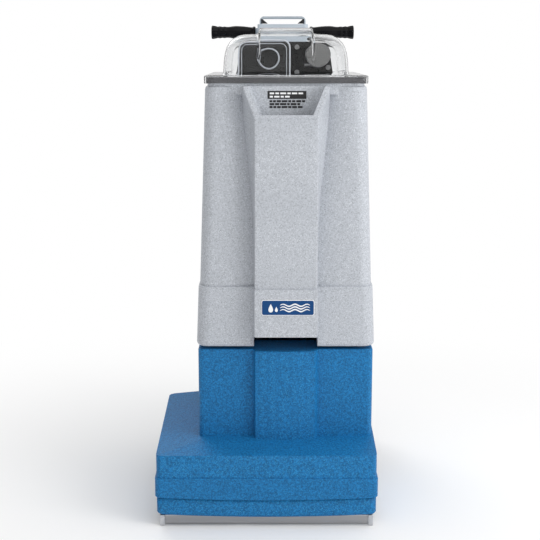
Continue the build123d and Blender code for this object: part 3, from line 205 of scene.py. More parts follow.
def mould(name, adds, cuts, edge=0.0):
    """The union of `adds` less `cuts`, each a loft or an object, with its edges rounded by `edge` mm."""
    piece = solid_mesh(name, adds[:1])
    tools = []
    for operation, shapes in (("UNION", adds[1:]), ("DIFFERENCE", cuts)):
        for shape in shapes:
            tool = shape if isinstance(shape, bpy.types.Object) else solid_mesh(f"{name}_tool", [shape])
            step = piece.modifiers.new(operation, "BOOLEAN")
            step.operation = operation
            step.solver = "EXACT"
            step.object = tool
            tools.append(tool)
    bake_modifiers(piece)
    for tool in tools:
        bpy.data.objects.remove(tool)
    if edge:
        bevelled(piece, edge, 3, 24)
    return piece


def bevelled(piece, width, segments, angle=35):
    """Rounds a piece's edges with an applied bevel."""
    bevel = piece.modifiers.new("bevel", "BEVEL")
    bevel.width = width * MM
    bevel.segments = segments
    bevel.limit_method = "ANGLE"
    bevel.angle_limit = math.radians(angle)
    weigh = piece.modifiers.new("weigh", "WEIGHTED_NORMAL")
    weigh.keep_sharp = True
    bake_modifiers(piece)
    return piece


def finish_piece(piece, body, material, replaces=()):
    """Rides, slots, paints and stands in for CAD nodes, in one line."""
    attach(piece, body)
    piece.data.materials.clear()
    piece.data.materials.append(material)
    if replaces:
        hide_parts(*replaces)
    return piece


# ---------------------------------------------------------------- materials
class Shader:
    """Short way to write a node material."""

    def __init__(self, name, **values):
        self.material = bpy.data.materials.new(name)
        self.material.use_nodes = True
        self.tree = self.material.node_tree
        self.nodes = self.tree.nodes
        self.bsdf = self.nodes["Principled BSDF"]
        for socket, value in values.items():
            self.bsdf.inputs[socket.replace("_", " ")].default_value = value
        self.place = self.nodes.new("ShaderNodeTexCoord").outputs["Object"]

    def link(self, source, target):
        self.tree.links.new(source, target)
        return target

    def noise(self, scale, detail, rough=0.5, stretch=None):
        """Noise value in object space; stretch squeezes it along the axes."""
        place = self.place
        if stretch:
            mapping = self.nodes.new("ShaderNodeMapping")
            mapping.inputs["Scale"].default_value = stretch
            self.link(place, mapping.inputs["Vector"])
            place = mapping.outputs["Vector"]
        node = self.nodes.new("ShaderNodeTexNoise")
        node.inputs["Scale"].default_value = scale
        node.inputs["Detail"].default_value = detail
        node.inputs["Roughness"].default_value = rough
        self.link(place, node.inputs["Vector"])
        return node.outputs["Fac"]

    def voronoi(self, scale):
        """Cells in object space, each with a colour of its own."""
        node = self.nodes.new("ShaderNodeTexVoronoi")
        node.inputs["Scale"].default_value = scale
        self.link(self.place, node.inputs["Vector"])
        return node

    def ramp(self, value, stops):
        """Colour ramp from (position, colour) stops."""
        node = self.nodes.new("ShaderNodeValToRGB")
        elements = node.color_ramp.elements
        while len(elements) < len(stops):
            elements.new(0.5)
        for element, (position, colour) in zip(elements, stops):
            element.position = position
            element.color = (*colour, 1) if len(colour) == 3 else colour
        self.link(value, node.inputs["Fac"])
        return node.outputs["Color"]

    def mix(self, factor, first, second, blend="MIX"):
        """Mixes two colours; each value is a number, a colour or a socket."""
        node = self.nodes.new("ShaderNodeMix")
        node.data_type = "RGBA"
        node.blend_type = blend
        sockets = (node.inputs["Factor"], node.inputs[6], node.inputs[7])
        for socket, value in zip(sockets, (factor, first, second)):
            if hasattr(value, "links"):
                self.link(value, socket)
            elif isinstance(value, (int, float)):
                socket.default_value = value
            else:
                socket.default_value = (*value, 1)
        return node.outputs[2]

    def math(self, operation, first, second=0.0):
        """Sum on two values; either is a number or a socket."""
        node = self.nodes.new("ShaderNodeMath")
        node.operation = operation
        for socket, value in zip(node.inputs, (first, second)):
            if hasattr(value, "links"):
                self.link(value, socket)
            else:
                socket.default_value = value
        return node.outputs["Value"]

    def span(self, value, low, high):
        """Maps 0..1 to low..high."""
        node = self.nodes.new("ShaderNodeMapRange")
        node.inputs["To Min"].default_value = low
        node.inputs["To Max"].default_value = high
        self.link(value, node.inputs["Value"])
        return node.outputs["Result"]

    def bump(self, height, distance, strength):
        """Bump of a height in metres."""
        node = self.nodes.new("ShaderNodeBump")
        node.inputs["Distance"].default_value = distance
        node.inputs["Strength"].default_value = strength
        self.link(height, node.inputs["Height"])
        self.link(node.outputs["Normal"], self.bsdf.inputs["Normal"])

    def colour(self, socket):
        self.link(socket, self.bsdf.inputs["Base Color"])

    def rough(self, socket):
        self.link(socket, self.bsdf.inputs["Roughness"])


def scaled(colour, factor):
    """Brighter or darker version of a colour."""
    return [min(1, c * factor) for c in colour]


def speckled(name, base, dark, light, roughness, dark_share, light_share, grain=620, sheen=0.35, mottle=0.2):
    """Rotomoulded granite plastic: fine dark and light flecks in a mottled base, with orange peel."""
    s = Shader(name, Roughness=roughness, Specular_IOR_Level=sheen)
    cloud = s.ramp(s.noise(9, 4), [(0.3, scaled(base, 0.95)), (0.7, scaled(base, 1.04))])
    grit = s.ramp(s.noise(grain * 1.3, 1.5), [(0.32, scaled(base, 0.86)), (0.68, scaled(base, 1.1))])
    coarse = s.ramp(
        s.noise(grain * 0.5, 2), [(0.34, scaled(base, 1 - mottle)), (0.66, scaled(base, 1 + mottle))],
    )
    body = s.mix(0.55, s.mix(0.5, cloud, grit), coarse)
    cells = s.voronoi(grain)
    split = s.nodes.new("ShaderNodeSeparateColor")
    s.link(cells.outputs["Color"], split.inputs["Color"])
    near = s.math("LESS_THAN", cells.outputs["Distance"], 0.42)
    is_dark = s.math("MULTIPLY", s.math("LESS_THAN", split.outputs["Red"], dark_share), near)
    is_light = s.math("MULTIPLY", s.math("LESS_THAN", split.outputs["Green"], light_share), near)
    body = s.mix(s.math("MULTIPLY", is_dark, 0.75), body, dark)
    body = s.mix(s.math("MULTIPLY", is_light, 0.7), body, light)
    s.colour(body)
    s.rough(s.span(s.noise(180, 3), roughness - 0.07, roughness + 0.09))
    s.bump(s.math("ADD", s.noise(700, 3), s.math("MULTIPLY", s.noise(60, 2), 0.6)), 0.00035, 0.55)
    return s.material


def satin(name, base, roughness, grain=900, depth=0.00005, metallic=0.0, variation=0.06, sheen=0.4):
    """Moulded plastic or painted metal with fine texture and slight wear in its gloss."""
    s = Shader(name, Metallic=metallic, Specular_IOR_Level=sheen)
    stops = [(0.3, scaled(base, 1 - variation)), (0.7, scaled(base, 1 + variation))]
    s.colour(s.ramp(s.noise(14, 5), stops))
    s.rough(s.span(s.noise(55, 5), roughness - 0.08, roughness + 0.1))
    s.bump(s.noise(grain, 3), depth, 0.5)
    return s.material


def brushed(name, base, roughness, stretch):
    """Brushed stainless, with its grain along one axis."""
    s = Shader(name, Metallic=1.0)
    lines = s.noise(60, 6, 0.7, stretch)
    s.colour(s.ramp(lines, [(0.25, scaled(base, 0.82)), (0.75, scaled(base, 1.1))]))
    s.rough(s.span(s.noise(25, 4), roughness - 0.06, roughness + 0.12))
    s.bump(lines, 0.00006, 0.4)
    return s.material


def woven(name, metal, gap, pitch):
    """Wire cloth seen from the front: bright wires round small holes painted dark as the shade seen through
    them, `pitch` mm apart.
    """
    s = Shader(name, Metallic=0.25)
    split = s.nodes.new("ShaderNodeSeparateXYZ")
    s.link(s.place, split.inputs["Vector"])
    waves = []
    for axis in ("X", "Z"):
        turns = s.math("MULTIPLY", split.outputs[axis], 2 * math.pi / (pitch * MM))
        waves.append(s.math("MULTIPLY_ADD", s.math("SINE", turns), 0.5))
    hole = s.math("MULTIPLY", s.math("ADD", waves[0], 0.5), s.math("ADD", waves[1], 0.5))
    # painted shade: the holes get the dark `gap` colour in place of the shade seen through them
    s.colour(s.mix(s.noise(40, 4), s.ramp(hole, [(0.25, metal), (0.5, gap)]), metal, "MULTIPLY"))
    s.rough(s.span(hole, 0.35, 0.7))
    s.bump(s.math("SUBTRACT", 1.0, hole), 0.0005, 0.6)
    return s.material


def clear(name, tint, edge_highlight_share):
    """Clear polycarbonate with faint scratches in its gloss; where it is seen edge on it turns milky grey, a
    painted highlight standing in for the bright reflections along its edges.
    """
    s = Shader(name, IOR=1.26)
    edge = s.nodes.new("ShaderNodeLayerWeight")
    edge.inputs["Blend"].default_value = 0.35
    edge_highlight_mask = s.math("POWER", edge.outputs["Facing"], 4.0)
    # painted highlight: seen edge on, the plastic turns less clear and diffusely grey, so its outline shows
    # up light
    s.colour(s.mix(edge_highlight_mask, tint, scaled(tint, 0.62)))
    s.link(s.span(edge_highlight_mask, 1.0, 1.0 - edge_highlight_share), s.bsdf.inputs["Transmission Weight"])
    s.rough(s.span(s.noise(130, 6, 0.7, (1, 1, 5)), 0.0, 0.04))
    s.bump(s.noise(8, 2), 0.0002, 0.12)
    return s.material


TANK = speckled("tank_granite", (0.46, 0.483, 0.522), (0.17, 0.18, 0.20), (0.76, 0.79, 0.83), 0.5, 0.2, 0.16)
BLUE = speckled(
    "base_granite", (0.009, 0.155, 0.38), (0.003, 0.05, 0.15), (0.04, 0.32, 0.62), 0.5, 0.3, 0.2,
    grain=560, sheen=0.25, mottle=0.5,
)
BLACK = satin("black_moulding", (0.005, 0.005, 0.005), 0.42, grain=450, depth=0.000015, sheen=0.14)
RUBBER = satin("black_rubber", (0.016, 0.016, 0.018), 0.6, 500, 0.0002)
GRIP = satin("grip_rubber", (0.003, 0.003, 0.004), 0.27, 700, 0.0001, sheen=0.14)
TYRE = satin("tyre_rubber", (0.024, 0.024, 0.026), 0.7, 400, 0.0003)
HUB = satin("hub_plastic", (0.42, 0.44, 0.47), 0.42)
CONSOLE = satin("console_plastic", (0.50, 0.56, 0.62), 0.38, 600, 0.00008)
# the gasket's own dark grey, lightened by painted reflection from the clear flange in front of it
SEAL = satin("gasket_grey_and_painted_reflection", (0.07, 0.07, 0.075), 0.55, 800, 0.0002)
PRINT = satin("print_white", (0.86, 0.87, 0.88), 0.4, 1500, 0.00002, variation=0.02)
PRINT_BLUE = satin("print_blue", (0.005, 0.055, 0.185), 0.35, 1500, 0.00002, variation=0.05, sheen=0.2)
PRINT_BLACK = satin("print_black", (0.012, 0.012, 0.014), 0.4, 1500, 0.00002, variation=0.1)
TUBE = satin("tube_powder_coat", (0.38, 0.43, 0.48), 0.35, 900, 0.00006)
SCREW = satin("screw_steel", (0.24, 0.24, 0.24), 0.38, 500, metallic=1.0, variation=0.1)
ZINC = satin("zinc_plate", (0.55, 0.56, 0.58), 0.34, 500, metallic=1.0, variation=0.1)
STEEL = brushed("stainless_brushed", (0.38, 0.38, 0.39), 0.34, (0.04, 1, 6))
# the strainer's holes are painted dark grey as shade
MESH = woven("strainer_mesh", (0.85, 0.85, 0.83), (0.16, 0.16, 0.16), 2.2)
MOTOR = satin("motor_paint", (0.05, 0.055, 0.06), 0.5)
HOSE = satin("hose_vinyl", (0.20, 0.21, 0.22), 0.5)
# the clear plastic's milky grey edge-on tone is a painted highlight
CLEAR = clear("clear_polycarbonate", (0.945, 0.95, 0.955), 0.6)
# painted highlight: opaque light grey beads stand in for the light that the clear plastic's edges catch
EDGE_HIGHLIGHT = satin("clear_edge_painted_highlight", (0.60, 0.63, 0.68), 0.16, 500, 0.00004, variation=0.12, sheen=0.9)
BRASS = satin("nozzle_brass", (0.62, 0.45, 0.18), 0.3, 500, metallic=1.0, variation=0.08)
FLOAT = satin("float_plastic", (0.78, 0.78, 0.75), 0.4)
SWITCH = satin("switch_red", (0.42, 0.02, 0.02), 0.25)
BRISTLE = satin("bristle_nylon", (0.03, 0.07, 0.2), 0.4, 300, 0.0002)

# Material of each slot, for the CAD shapes that stay.
CAD_PAINT = {
    "tank_grey": TANK, "base_blue": BLUE, "black_plastic": BLACK, "dark_rubber": RUBBER, "tyre_rubber": TYRE,
    "hub_plastic": HUB, "clear_plastic": CLEAR, "stainless": STEEL, "zinc_steel": ZINC, "motor_paint": MOTOR,
    "console_grey": CONSOLE, "tube_grey": TUBE, "grip_black": GRIP, "hose_grey": HOSE,
    "bristle_blue": BRISTLE, "badge_blue": BLUE, "label_dark": BLACK, "float_white": FLOAT, "brass": BRASS,
    "switch_red": SWITCH,
}
NODE_PAINT = {"lid_gasket": SEAL, "strainer": MESH, "drive_belt": RUBBER, "tower_screws": SCREW}
# CAD shapes that stay get their edges rounded by this many mm.
SOFT_EDGES = {
    "tower": 1.2, "port_ring": 0.8, "mast_bracket": 1.2, "switch_panel": 0.8, "vac_shoe": 0.35,
    "shoe_end_plates": 0.8, "wheel_hub_left": 1.0, "wheel_hub_right": 1.0, "drain_clips": 0.6,
    "cord_gland": 0.6, "pump_rocker": 0.8, "vacuum_rocker": 0.8, "brush_rocker": 0.8, "breaker_button": 0.5,
    "strainer": 0.5, "deflector": 0.6, "tank_hinge": 0.4, "base_hinge": 0.4, "chassis_frame": 0.5,
    "brush_frame": 0.6, "float_stem": 0.4,
}
for row in frame["record"]["subparts"]:
    node = frame["nodes"][row["node"]]
    node.data.materials.clear()
    node.data.materials.append(NODE_PAINT.get(row["node"]) or CAD_PAINT[row["material_slot"]])
    shade_smooth(node.data)
    if row["node"] in SOFT_EDGES:
        soft = node.modifiers.new("soft", "BEVEL")
        soft.width = SOFT_EDGES[row["node"]] * MM
        soft.segments = 2
        soft.limit_method = "ANGLE"
        soft.angle_limit = math.radians(50)
    edges = node.modifiers.new("edges", "EDGE_SPLIT")
    edges.split_angle = math.radians(32)


# ---------------------------------------------------------------- tank
BAND_Z, TANK_LOW, TANK_TOP = 488.0, 361.0, 897.0
RIM_Z = 833.0  # the centre panel flares above this height
FRONT_CORNER, REAR_CORNER = 26, 22


def blend(low, high, value, start, end):
    """Eases from low to high as value goes from start to end."""
    t = min(1, max(0, (value - start) / (end - start)))
    return low + (high - low) * t * t * (3 - 2 * t)


def line(low, high, value, start, end):
    """Goes straight from low to high as value goes from start to end."""
    t = min(1, max(0, (value - start) / (end - start)))
    return low + (high - low) * t


def tank_half_outline(z, inset):
    """Right half of the tank's plan at one height, from the front centre round to the rear centre."""
    in_band = z <= BAND_Z
    side = line(186, 181, z, TANK_LOW, BAND_Z) if in_band else line(178, 164, z, BAND_Z, TANK_TOP)
    rear = line(502, 499, z, TANK_LOW, BAND_Z) if in_band else line(497, 491, z, BAND_Z, TANK_TOP)
    face = 60 if in_band else line(64, 68, z, BAND_Z, TANK_TOP)
    shoulder = 91 if in_band else line(94, 104, z, BAND_Z, TANK_TOP)
    panel = 65 if in_band else 64
    crease = blend(67, 89, z, 590, TANK_TOP)
    if z > RIM_Z:
        panel = line(64, 88, z, RIM_Z, TANK_TOP)
        crease = max(crease, panel + 1)
        face -= 1.5
    valley = 0 if in_band else blend(5, 15, z, BAND_Z, TANK_TOP)
    side, rear, face, shoulder = side - inset, rear - inset, face + inset, shoulder + inset
    panel, crease = panel - inset, crease - inset
    corner = FRONT_CORNER - inset
    points = [(0, face), (panel * 0.5, face), (panel - 3, face), (panel - 0.9, face + 0.9), (panel, face + 3)]
    points.append((crease, shoulder + valley))
    for share in (0.12, 0.25, 0.4, 0.6, 0.8, 1.0):
        x = crease + (side - corner - crease) * share
        points.append((x, shoulder + valley * (1 - share) ** 2))
    for i in range(1, 7):
        a = math.radians(15 * i)
        points.append((side - corner + corner * math.sin(a), shoulder + corner - corner * math.cos(a)))
    for i in range(7):
        a = math.radians(15 * i)
        points.append((side + REAR_CORNER * (math.cos(a) - 1), rear + REAR_CORNER * (math.sin(a) - 1)))
    points.append((0, rear))
    return points


def tank_ring(z, inset=0.0):
    """The tank's whole plan at one height."""
    half = tank_half_outline(z, inset)
    ring = [at(x, d, z) for x, d in half]
    return ring + [at(-x, d, z) for x, d in reversed(half[1:-1])]


tank_levels = [tank_ring(361, 7), tank_ring(362, 3.5), tank_ring(365, 1), tank_ring(368)]
tank_levels += [tank_ring(z) for z in (410, 450, 484)]
tank_levels += [tank_ring(488, 0.6), tank_ring(489.2, 1.0)]
tank_levels += [
    tank_ring(z) for z in (494, 540, 580, 620, 660, 700, 740, 780, 815, 832.5, 835, 850, 870, 890)
]
tank_levels += [tank_ring(895, 1.2), tank_ring(897, 4)]


def pocket_ring(z, half):
    """Plan of the fill pocket at one height."""
    return rounded_rect(-half, half, 73.5, 102, z, 5)


pocket = [pocket_ring(z, half) for z, half in ((792, 44), (841, 53.5), (900, 77.5))]
scoop = [
    [at(x, depth, z) for x, z in ((-53.5, 841), (53.5, 841), (77.5, 900), (-77.5, 900))]
    for depth in (40, 80)
]
throat = block(-34, 34, 76, 98, 786, 793, 2)
notch = block(-66, 66, 40, 172, 350, 389, 2)
recovery = block(-158, 158, 262, 484, 372, 889, 16)
mouth = block(-154, 154, 115, 481, 897, 915, 14)
opening = block(-125, 125, 264, 390, 870, 905, 14)
PIPES_ACROSS, PIPES_DEPTH = (-60, 75), 436
DRAIN_ACROSS, DRAIN_DEPTH = 8, 464


def upright_rod(across, depth, low, high, radius):
    """Upright rod between two heights."""
    return rod_rings(at(across, depth, low), at(across, depth, high), radius)


bores = [upright_rod(x, PIPES_DEPTH, 350, 380, 17) for x in PIPES_ACROSS]
bores += [upright_rod(x, PIPES_DEPTH, 880, 905, 17) for x in PIPES_ACROSS]
bores.append(upright_rod(DRAIN_ACROSS, DRAIN_DEPTH, 350, 380, 12.5))
rim = block(-159, 159, 110, 486, 880, 909, 18)
hollows = [pocket, scoop, throat, notch, recovery, mouth, opening]
tank = mould("tank_shell_visual", [tank_levels, rim], hollows + bores, edge=2.6)
finish_piece(tank, "tank", TANK, ["tank_shell"])

# ---------------------------------------------------------------- base
DECK_LEFT, DECK_RIGHT, DECK_FRONT, DECK_REAR, POD_REAR = -266.0, 186.5, 3.0, 240.0, 441.0
BUMPER_LOW, BUMPER_HIGH, DECK_EDGE, SKIRT_LOW = 65.0, 106.5, 155.0, 27.0
DECK_MIDDLE, DECK_HALF = (DECK_LEFT + DECK_RIGHT) / 2, (DECK_RIGHT - DECK_LEFT) / 2
POD_FLARE = 7.8  # the pod's rear corner stands this much further out than the deck's side
EDGE_DIP = 6.0  # the deck's lower edges hang this much lower at mid width
DECK_CORNER, NECK_CORNER = 12, 12
BELT_EDGE = 1.6


def dip(across):
    """How far the deck's lower edges hang below their ends."""
    return EDGE_DIP * (1 - min(1, abs(across - DECK_MIDDLE) / DECK_HALF) ** 2)


def deck_ring(z, grow, dips=0.0, pod=True):
    """Plan of the brush deck, with its side pod or without, in short spans so that it can bow."""
    left, right, front = DECK_LEFT - grow, DECK_RIGHT + grow, DECK_FRONT - grow
    rear, corner = DECK_REAR + grow, DECK_CORNER
    points = []
    for i in range(7):
        a = math.radians(180 + 15 * i)
        points.append((left + corner + corner * math.cos(a), front + corner + corner * math.sin(a)))
    points += [(left + corner + (right - left - 2 * corner) * i / 14, front) for i in range(1, 14)]
    for i in range(7):
        a = math.radians(270 + 15 * i)
        points.append((right - corner + corner * math.cos(a), front + corner + corner * math.sin(a)))
    if pod:
        points += [(right, rear), (-150 + grow, rear), (-150 + grow, POD_REAR + grow)]
        points += [(left + 4, POD_REAR + grow), (left - 4, POD_REAR + grow - 4)]
        points.append((left - POD_FLARE, POD_REAR + grow - 12))
    else:
        points += [(right, rear - 12), (right - 12, rear)]
        points += [(right - (right - left) * i / 14, rear) for i in range(1, 14)]
        points += [(left + 12, rear), (left, rear - 12)]
    return [at(x, d, z - dips * dip(x)) for x, d in points]


def belt(z_low, z_high, grow, dips):
    """Block in the deck's plan whose top and bottom edges are rounded."""
    rises = ((0, BELT_EDGE), (BELT_EDGE * 0.4, BELT_EDGE * 0.4), (BELT_EDGE, 0))
    low = [deck_ring(z_low + rise, grow - inset, dips[0]) for rise, inset in rises]
    high = [deck_ring(z_high - rise, grow - inset, dips[1]) for rise, inset in reversed(rises)]
    return low + high


def hood(inset):
    """Brush deck and pod whose top falls to the front and to the left."""
    low = [deck_ring(BUMPER_LOW - inset, -inset), deck_ring(250, -inset)]
    front = (at(0, DECK_FRONT, DECK_EDGE - inset), Vector((0, -0.115, 1)))
    side = (at(DECK_LEFT, 0, DECK_EDGE - inset), Vector((-0.095, 0, 1)))
    return low, [front, side]


def neck_ring(z, inset=0.0):
    """Plan of the neck with the two facets of its prow."""
    front, rear, half = 100 + inset, 525 - inset, 183 - inset
    points = []
    r = NECK_CORNER
    for cx, cd, start in ((half - r, rear - r, 0), (r - half, rear - r, 90), (r - half, front + r, 180)):
        for i in range(5):
            a = math.radians(start + 22.5 * i)
            points.append((cx + r * math.cos(a), cd + r * math.sin(a)))
    points += [(-67 + inset, front), (-63 + inset, 83 + inset), (0, 77.5 + inset), (61 - inset, 85 + inset)]
    points.append((68 - inset, front))
    for i in range(5):
        a = math.radians(270 + 22.5 * i)
        points.append((half - r + r * math.cos(a), front + r + r * math.sin(a)))
    return [at(x, d, z) for x, d in points]


def across_rod(x0, x1, depth, z, radius, steps=48):
    """Level rod from left to right."""
    return rod_rings(at(x0, depth, z), at(x1, depth, z), radius, steps)


neck = [neck_ring(66), neck_ring(351), neck_ring(353, 0.8), neck_ring(354, 2.5)]
AXLE_DEPTH, AXLE_Z = 470, 127
wells, grown_wells = [
    [
        across_rod(118 - wall, 260, AXLE_DEPTH, AXLE_Z, 139 + wall, 72),
        across_rod(-192 - wall, wall - 118, AXLE_DEPTH, AXLE_Z, 139 + wall, 72),
    ]
    for wall in (0, 5)
]
core = mould("base_core", [hood(5), [neck_ring(60, 5), neck_ring(349, 5)]], grown_wells)
base_cuts = wells + [block(-132, 132, 178, 400, 340, 360, 12), across_rod(-200, 200, AXLE_DEPTH, AXLE_Z, 10)]
base_cuts += [upright_rod(x, PIPES_DEPTH, 335, 360, 21) for x in PIPES_ACROSS]
base_cuts += [upright_rod(DRAIN_ACROSS, DRAIN_DEPTH, 335, 360, 17), upright_rod(-100, 166, 335, 360, 8)]
base_cuts.append(rod_rings(at(-98, 510, 300), at(-98, 540, 300), 17))

bumper = belt(BUMPER_LOW, BUMPER_HIGH, 3, (1, 0))
base = mould("base_housing_visual", [hood(0), bumper, neck], [core] + base_cuts, edge=2.4)
finish_piece(base, "chassis", BLUE, ["base_housing"])

# Up the outside, over the hidden top and down the inside, as (height, growth) of the deck's plan.
skirt_section = [
    (SKIRT_LOW, -5), (SKIRT_LOW + 1.5, -2), (SKIRT_LOW + 5, 0), (BUMPER_LOW + 1, 0),
    (BUMPER_LOW + 1, -3.5), (SKIRT_LOW + 5, -3.5), (SKIRT_LOW + 0.5, -6),
]
skirt_rings = [deck_ring(z, grow, 1, False) for z, grow in skirt_section]
skirt_bm = loft_bm(skirt_rings + skirt_rings[:1], close=False)
bmesh.ops.remove_doubles(skirt_bm, verts=skirt_bm.verts, dist=1e-6)
skirt = new_object("deck_skirt_visual", skirt_bm)
finish_piece(skirt, "chassis", BLUE, ["deck_skirt"])


# ---------------------------------------------------------------- lid
def ridge(across, depth, height):
    """Lift of the lid's central channel, which fades out down the front."""
    share = blend(0, 1, 58 - abs(across), 0, 4.5)
    climb = blend(0, 1, height, 944, 962)
    over = blend(0, 1, height, 962, 999)
    return 7.0 * share * climb * (1 - over) * (1 if depth < 300 else 0), 13.0 * share * over


# Where the front and rear edges are split, so that the ridge's sides can rise between them.
LID_STATIONS = (-62, -59, -57, -55, -53, -50, -40, -20, 0, 20, 40, 50, 53, 55, 57, 59, 62)


def lid_ring(half, front, rear, z, radius):
    """Plan of the lid at one height, with the ridge's lift added."""
    straight = half - radius
    points = []
    for cx, cd, start in (
        (straight, rear - radius, 0), (-straight, rear - radius, 90),
        (-straight, front + radius, 180), (straight, front + radius, 270),
    ):
        for i in range(9):
            a = math.radians(start + 90 * i / 8)
            points.append((cx + radius * math.cos(a), cd + radius * math.sin(a)))
        if start in (0, 180):
            order = LID_STATIONS if start == 180 else LID_STATIONS[::-1]
            side = front if start == 180 else rear
            points += [(max(-straight, min(straight, x)), side) for x in order]
    placed = []
    for x, d in points:
        forward, up = ridge(x, d, z)
        placed.append(at(x, d - forward, z + up))
    return placed


# Half width, front depth, rear depth, height and corner radius, from the flange's foot to the crown.
lid_profile = [
    (165.5, 101, 496, 902, 14), (165.5, 101, 496, 910, 14), (165.5, 101, 496, 915.5, 14),
    (164.6, 102, 495, 917.3, 14), (162.5, 104, 493, 918, 13), (140, 122, 486, 918, 26),
    (133, 128, 485.5, 918.2, 30), (129.6, 125.6, 484.6, 920, 32), (128, 124, 484, 925, 34),
    (127, 125, 483, 944, 34), (126, 126.5, 482, 953, 34), (124.6, 128.2, 481, 962, 34),
    (121, 132, 478, 974, 34), (115, 139, 472, 984, 34), (107, 148, 464, 991.5, 33), (97, 160, 454, 997, 31),
    (86, 173, 442, 999.4, 28), (74, 188, 430, 1000, 12), (60, 205, 415, 1000, 3), (57, 209, 411, 1000, 2),
    (55, 212, 408, 1000, 1), (52.5, 216, 404, 1000, 1), (30, 245, 375, 1000, 1), (6, 290, 330, 1000, 1),
]
lid_bm = loft_bm([lid_ring(*row) for row in lid_profile], close=False)
lid_bm.faces.new(lid_bm.verts[-len(lid_ring(*lid_profile[-1])):])
bmesh.ops.remove_doubles(lid_bm, verts=lid_bm.verts, dist=2e-5)
lid = new_object("lid_dome_visual", lid_bm)
thick = lid.modifiers.new("thick", "SOLIDIFY")
thick.thickness = 3.4 * MM
thick.offset = -1
round_edge = lid.modifiers.new("round", "BEVEL")
round_edge.width = 0.8 * MM
round_edge.segments = 2
round_edge.limit_method = "ANGLE"
round_edge.angle_limit = math.radians(60)
bake_modifiers(lid)
finish_piece(lid, "lid", CLEAR, ["lid_dome"])
for clear_piece in (lid, frame["nodes"]["deflector"]):
    clear_piece.visible_shadow = False  # light falls through clear plastic


def plaque(x0, x1, z0, z1, d0, d1, radius, steps=5):
    """Rings of an upright plate facing forward, with round corners."""
    rings = []
    for depth in (d1, d0):
        ring = []
        for cx, cz, start in (
            (x1 - radius, z1 - radius, 0), (x0 + radius, z1 - radius, 90),
            (x0 + radius, z0 + radius, 180), (x1 - radius, z0 + radius, 270),
        ):
            for i in range(steps + 1):
                a = math.radians(start + 90 * i / steps)
                ring.append(at(cx + radius * math.cos(a), depth, cz + radius * math.sin(a)))
        rings.append(ring)
    return rings


def flat_piece(name, shapes, body, material, replaces=(), width=0.0):
    """Plates, letters or marks as one piece, with crisp faces or edges rounded by `width` mm."""
    piece = solid_mesh(name, shapes)
    if width:
        bevelled(piece, width, 2, 60)
    else:
        shade_smooth(piece.data, False)
    return finish_piece(piece, body, material, replaces)


# ---------------------------------------------------------------- badge and label
plate = plaque(-50, 58, 435.4, 467.6, 58.9, 60, 4.5)
flat_piece("badge_plate", [plate], "tank", PRINT, ["tank_badge"], 0.4)
field = plaque(-48.8, 56.8, 436.6, 466.4, 58.7, 59.4, 3.6)
flat_piece("badge_field", [field], "tank", PRINT_BLUE)


def ribbon(x0, x1, z_mid, height, waves, width, d0, d1):
    """Wavy ribbon on an upright face."""
    top, low = [], []
    for i in range(49):
        t = i / 48
        x = x0 + (x1 - x0) * t
        z = z_mid + height * math.sin(2 * math.pi * waves * t)
        half = width * (0.25 + 0.75 * math.sin(math.pi * t) ** 0.5) / 2
        top.append((x, z + half))
        low.append((x, z - half))
    outline = top + low[::-1]
    return [[at(x, depth, z) for x, z in outline] for depth in (d1, d0)]


def drop(x, z, size, d0, d1):
    """Falling drop on an upright face, pointed at its top."""
    outline = []
    for i in range(28):
        a = 2 * math.pi * i / 28
        pinch = math.sin(a / 2) ** 1.5
        outline.append((x + size * math.sin(a) * pinch * 0.75, z + size * math.cos(a)))
    return [[at(px, depth, pz) for px, pz in outline] for depth in (d1, d0)]


motif = [ribbon(-12, 49, z, 2.2, 2.5, 3.0, 58.5, 59) for z in (446, 451.5, 457)]
motif += [drop(-31, 451, 9, 58.5, 59), drop(-19.5, 448.5, 5.5, 58.5, 59)]
flat_piece("badge_motif", motif, "tank", PRINT)

header = [plaque(-37.4, 40.6, 871.6, 887.4, 101.4, 102.2, 0.6)]
light_lines, dark_lines = [], []
for row, (z, height, x_end) in enumerate(((882.6, 3.4, 36), (876.0, 3.4, 5))):
    x = -33.0
    while x < x_end:
        word = random.uniform(6, 15)
        word_end = min(x + word, x_end + 2)
        light_lines.append(plaque(x, word_end, z - height / 2, z + height / 2, 101.1, 101.6, 0.5, 2))
        x += word + 2.4
for z, x_end in ((867.0, 36), (861.2, 26), (855.4, 31)):
    x = -33.5
    while x < x_end:
        word = random.uniform(5, 13)
        dark_lines.append(plaque(x, min(x + word, x_end + 2), z - 2.1, z + 2.1, 101.5, 102.2, 0.5, 2))
        x += word + 1.6
flat_piece("fill_label_header", header + dark_lines, "tank", PRINT_BLACK, ["fill_label"])
flat_piece("fill_label_lines", light_lines, "tank", PRINT)


# ---------------------------------------------------------------- what stands inside the lid
def highlight_bead(name, points, radius, closed=False):
    """Round light grey bead on clear plastic, a painted highlight along its edge, through points in metres.
    """
    curve = bpy.data.curves.new(name, "CURVE")
    curve.dimensions = "3D"
    curve.bevel_depth = radius * MM
    curve.bevel_resolution = 4
    curve.use_fill_caps = True
    spline = curve.splines.new("POLY")
    spline.points.add(len(points) - 1)
    for slot_point, point in zip(spline.points, points):
        slot_point.co = (*point, 1)
    spline.use_cyclic_u = closed
    holder = bpy.data.objects.new(name + "_path", curve)
    bpy.context.scene.collection.objects.link(holder)
    mesh = bpy.data.meshes.new_from_object(holder.evaluated_get(bpy.context.evaluated_depsgraph_get()))
    bpy.data.objects.remove(holder)
    shade_smooth(mesh)
    piece = bpy.data.objects.new(name, mesh)
    bpy.context.scene.collection.objects.link(piece)
    return finish_piece(piece, "tank", EDGE_HIGHLIGHT)


box_lo, box_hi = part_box("deflector")
left, right, top = box_lo.x, box_hi.x, box_hi.z
face = box_lo.y


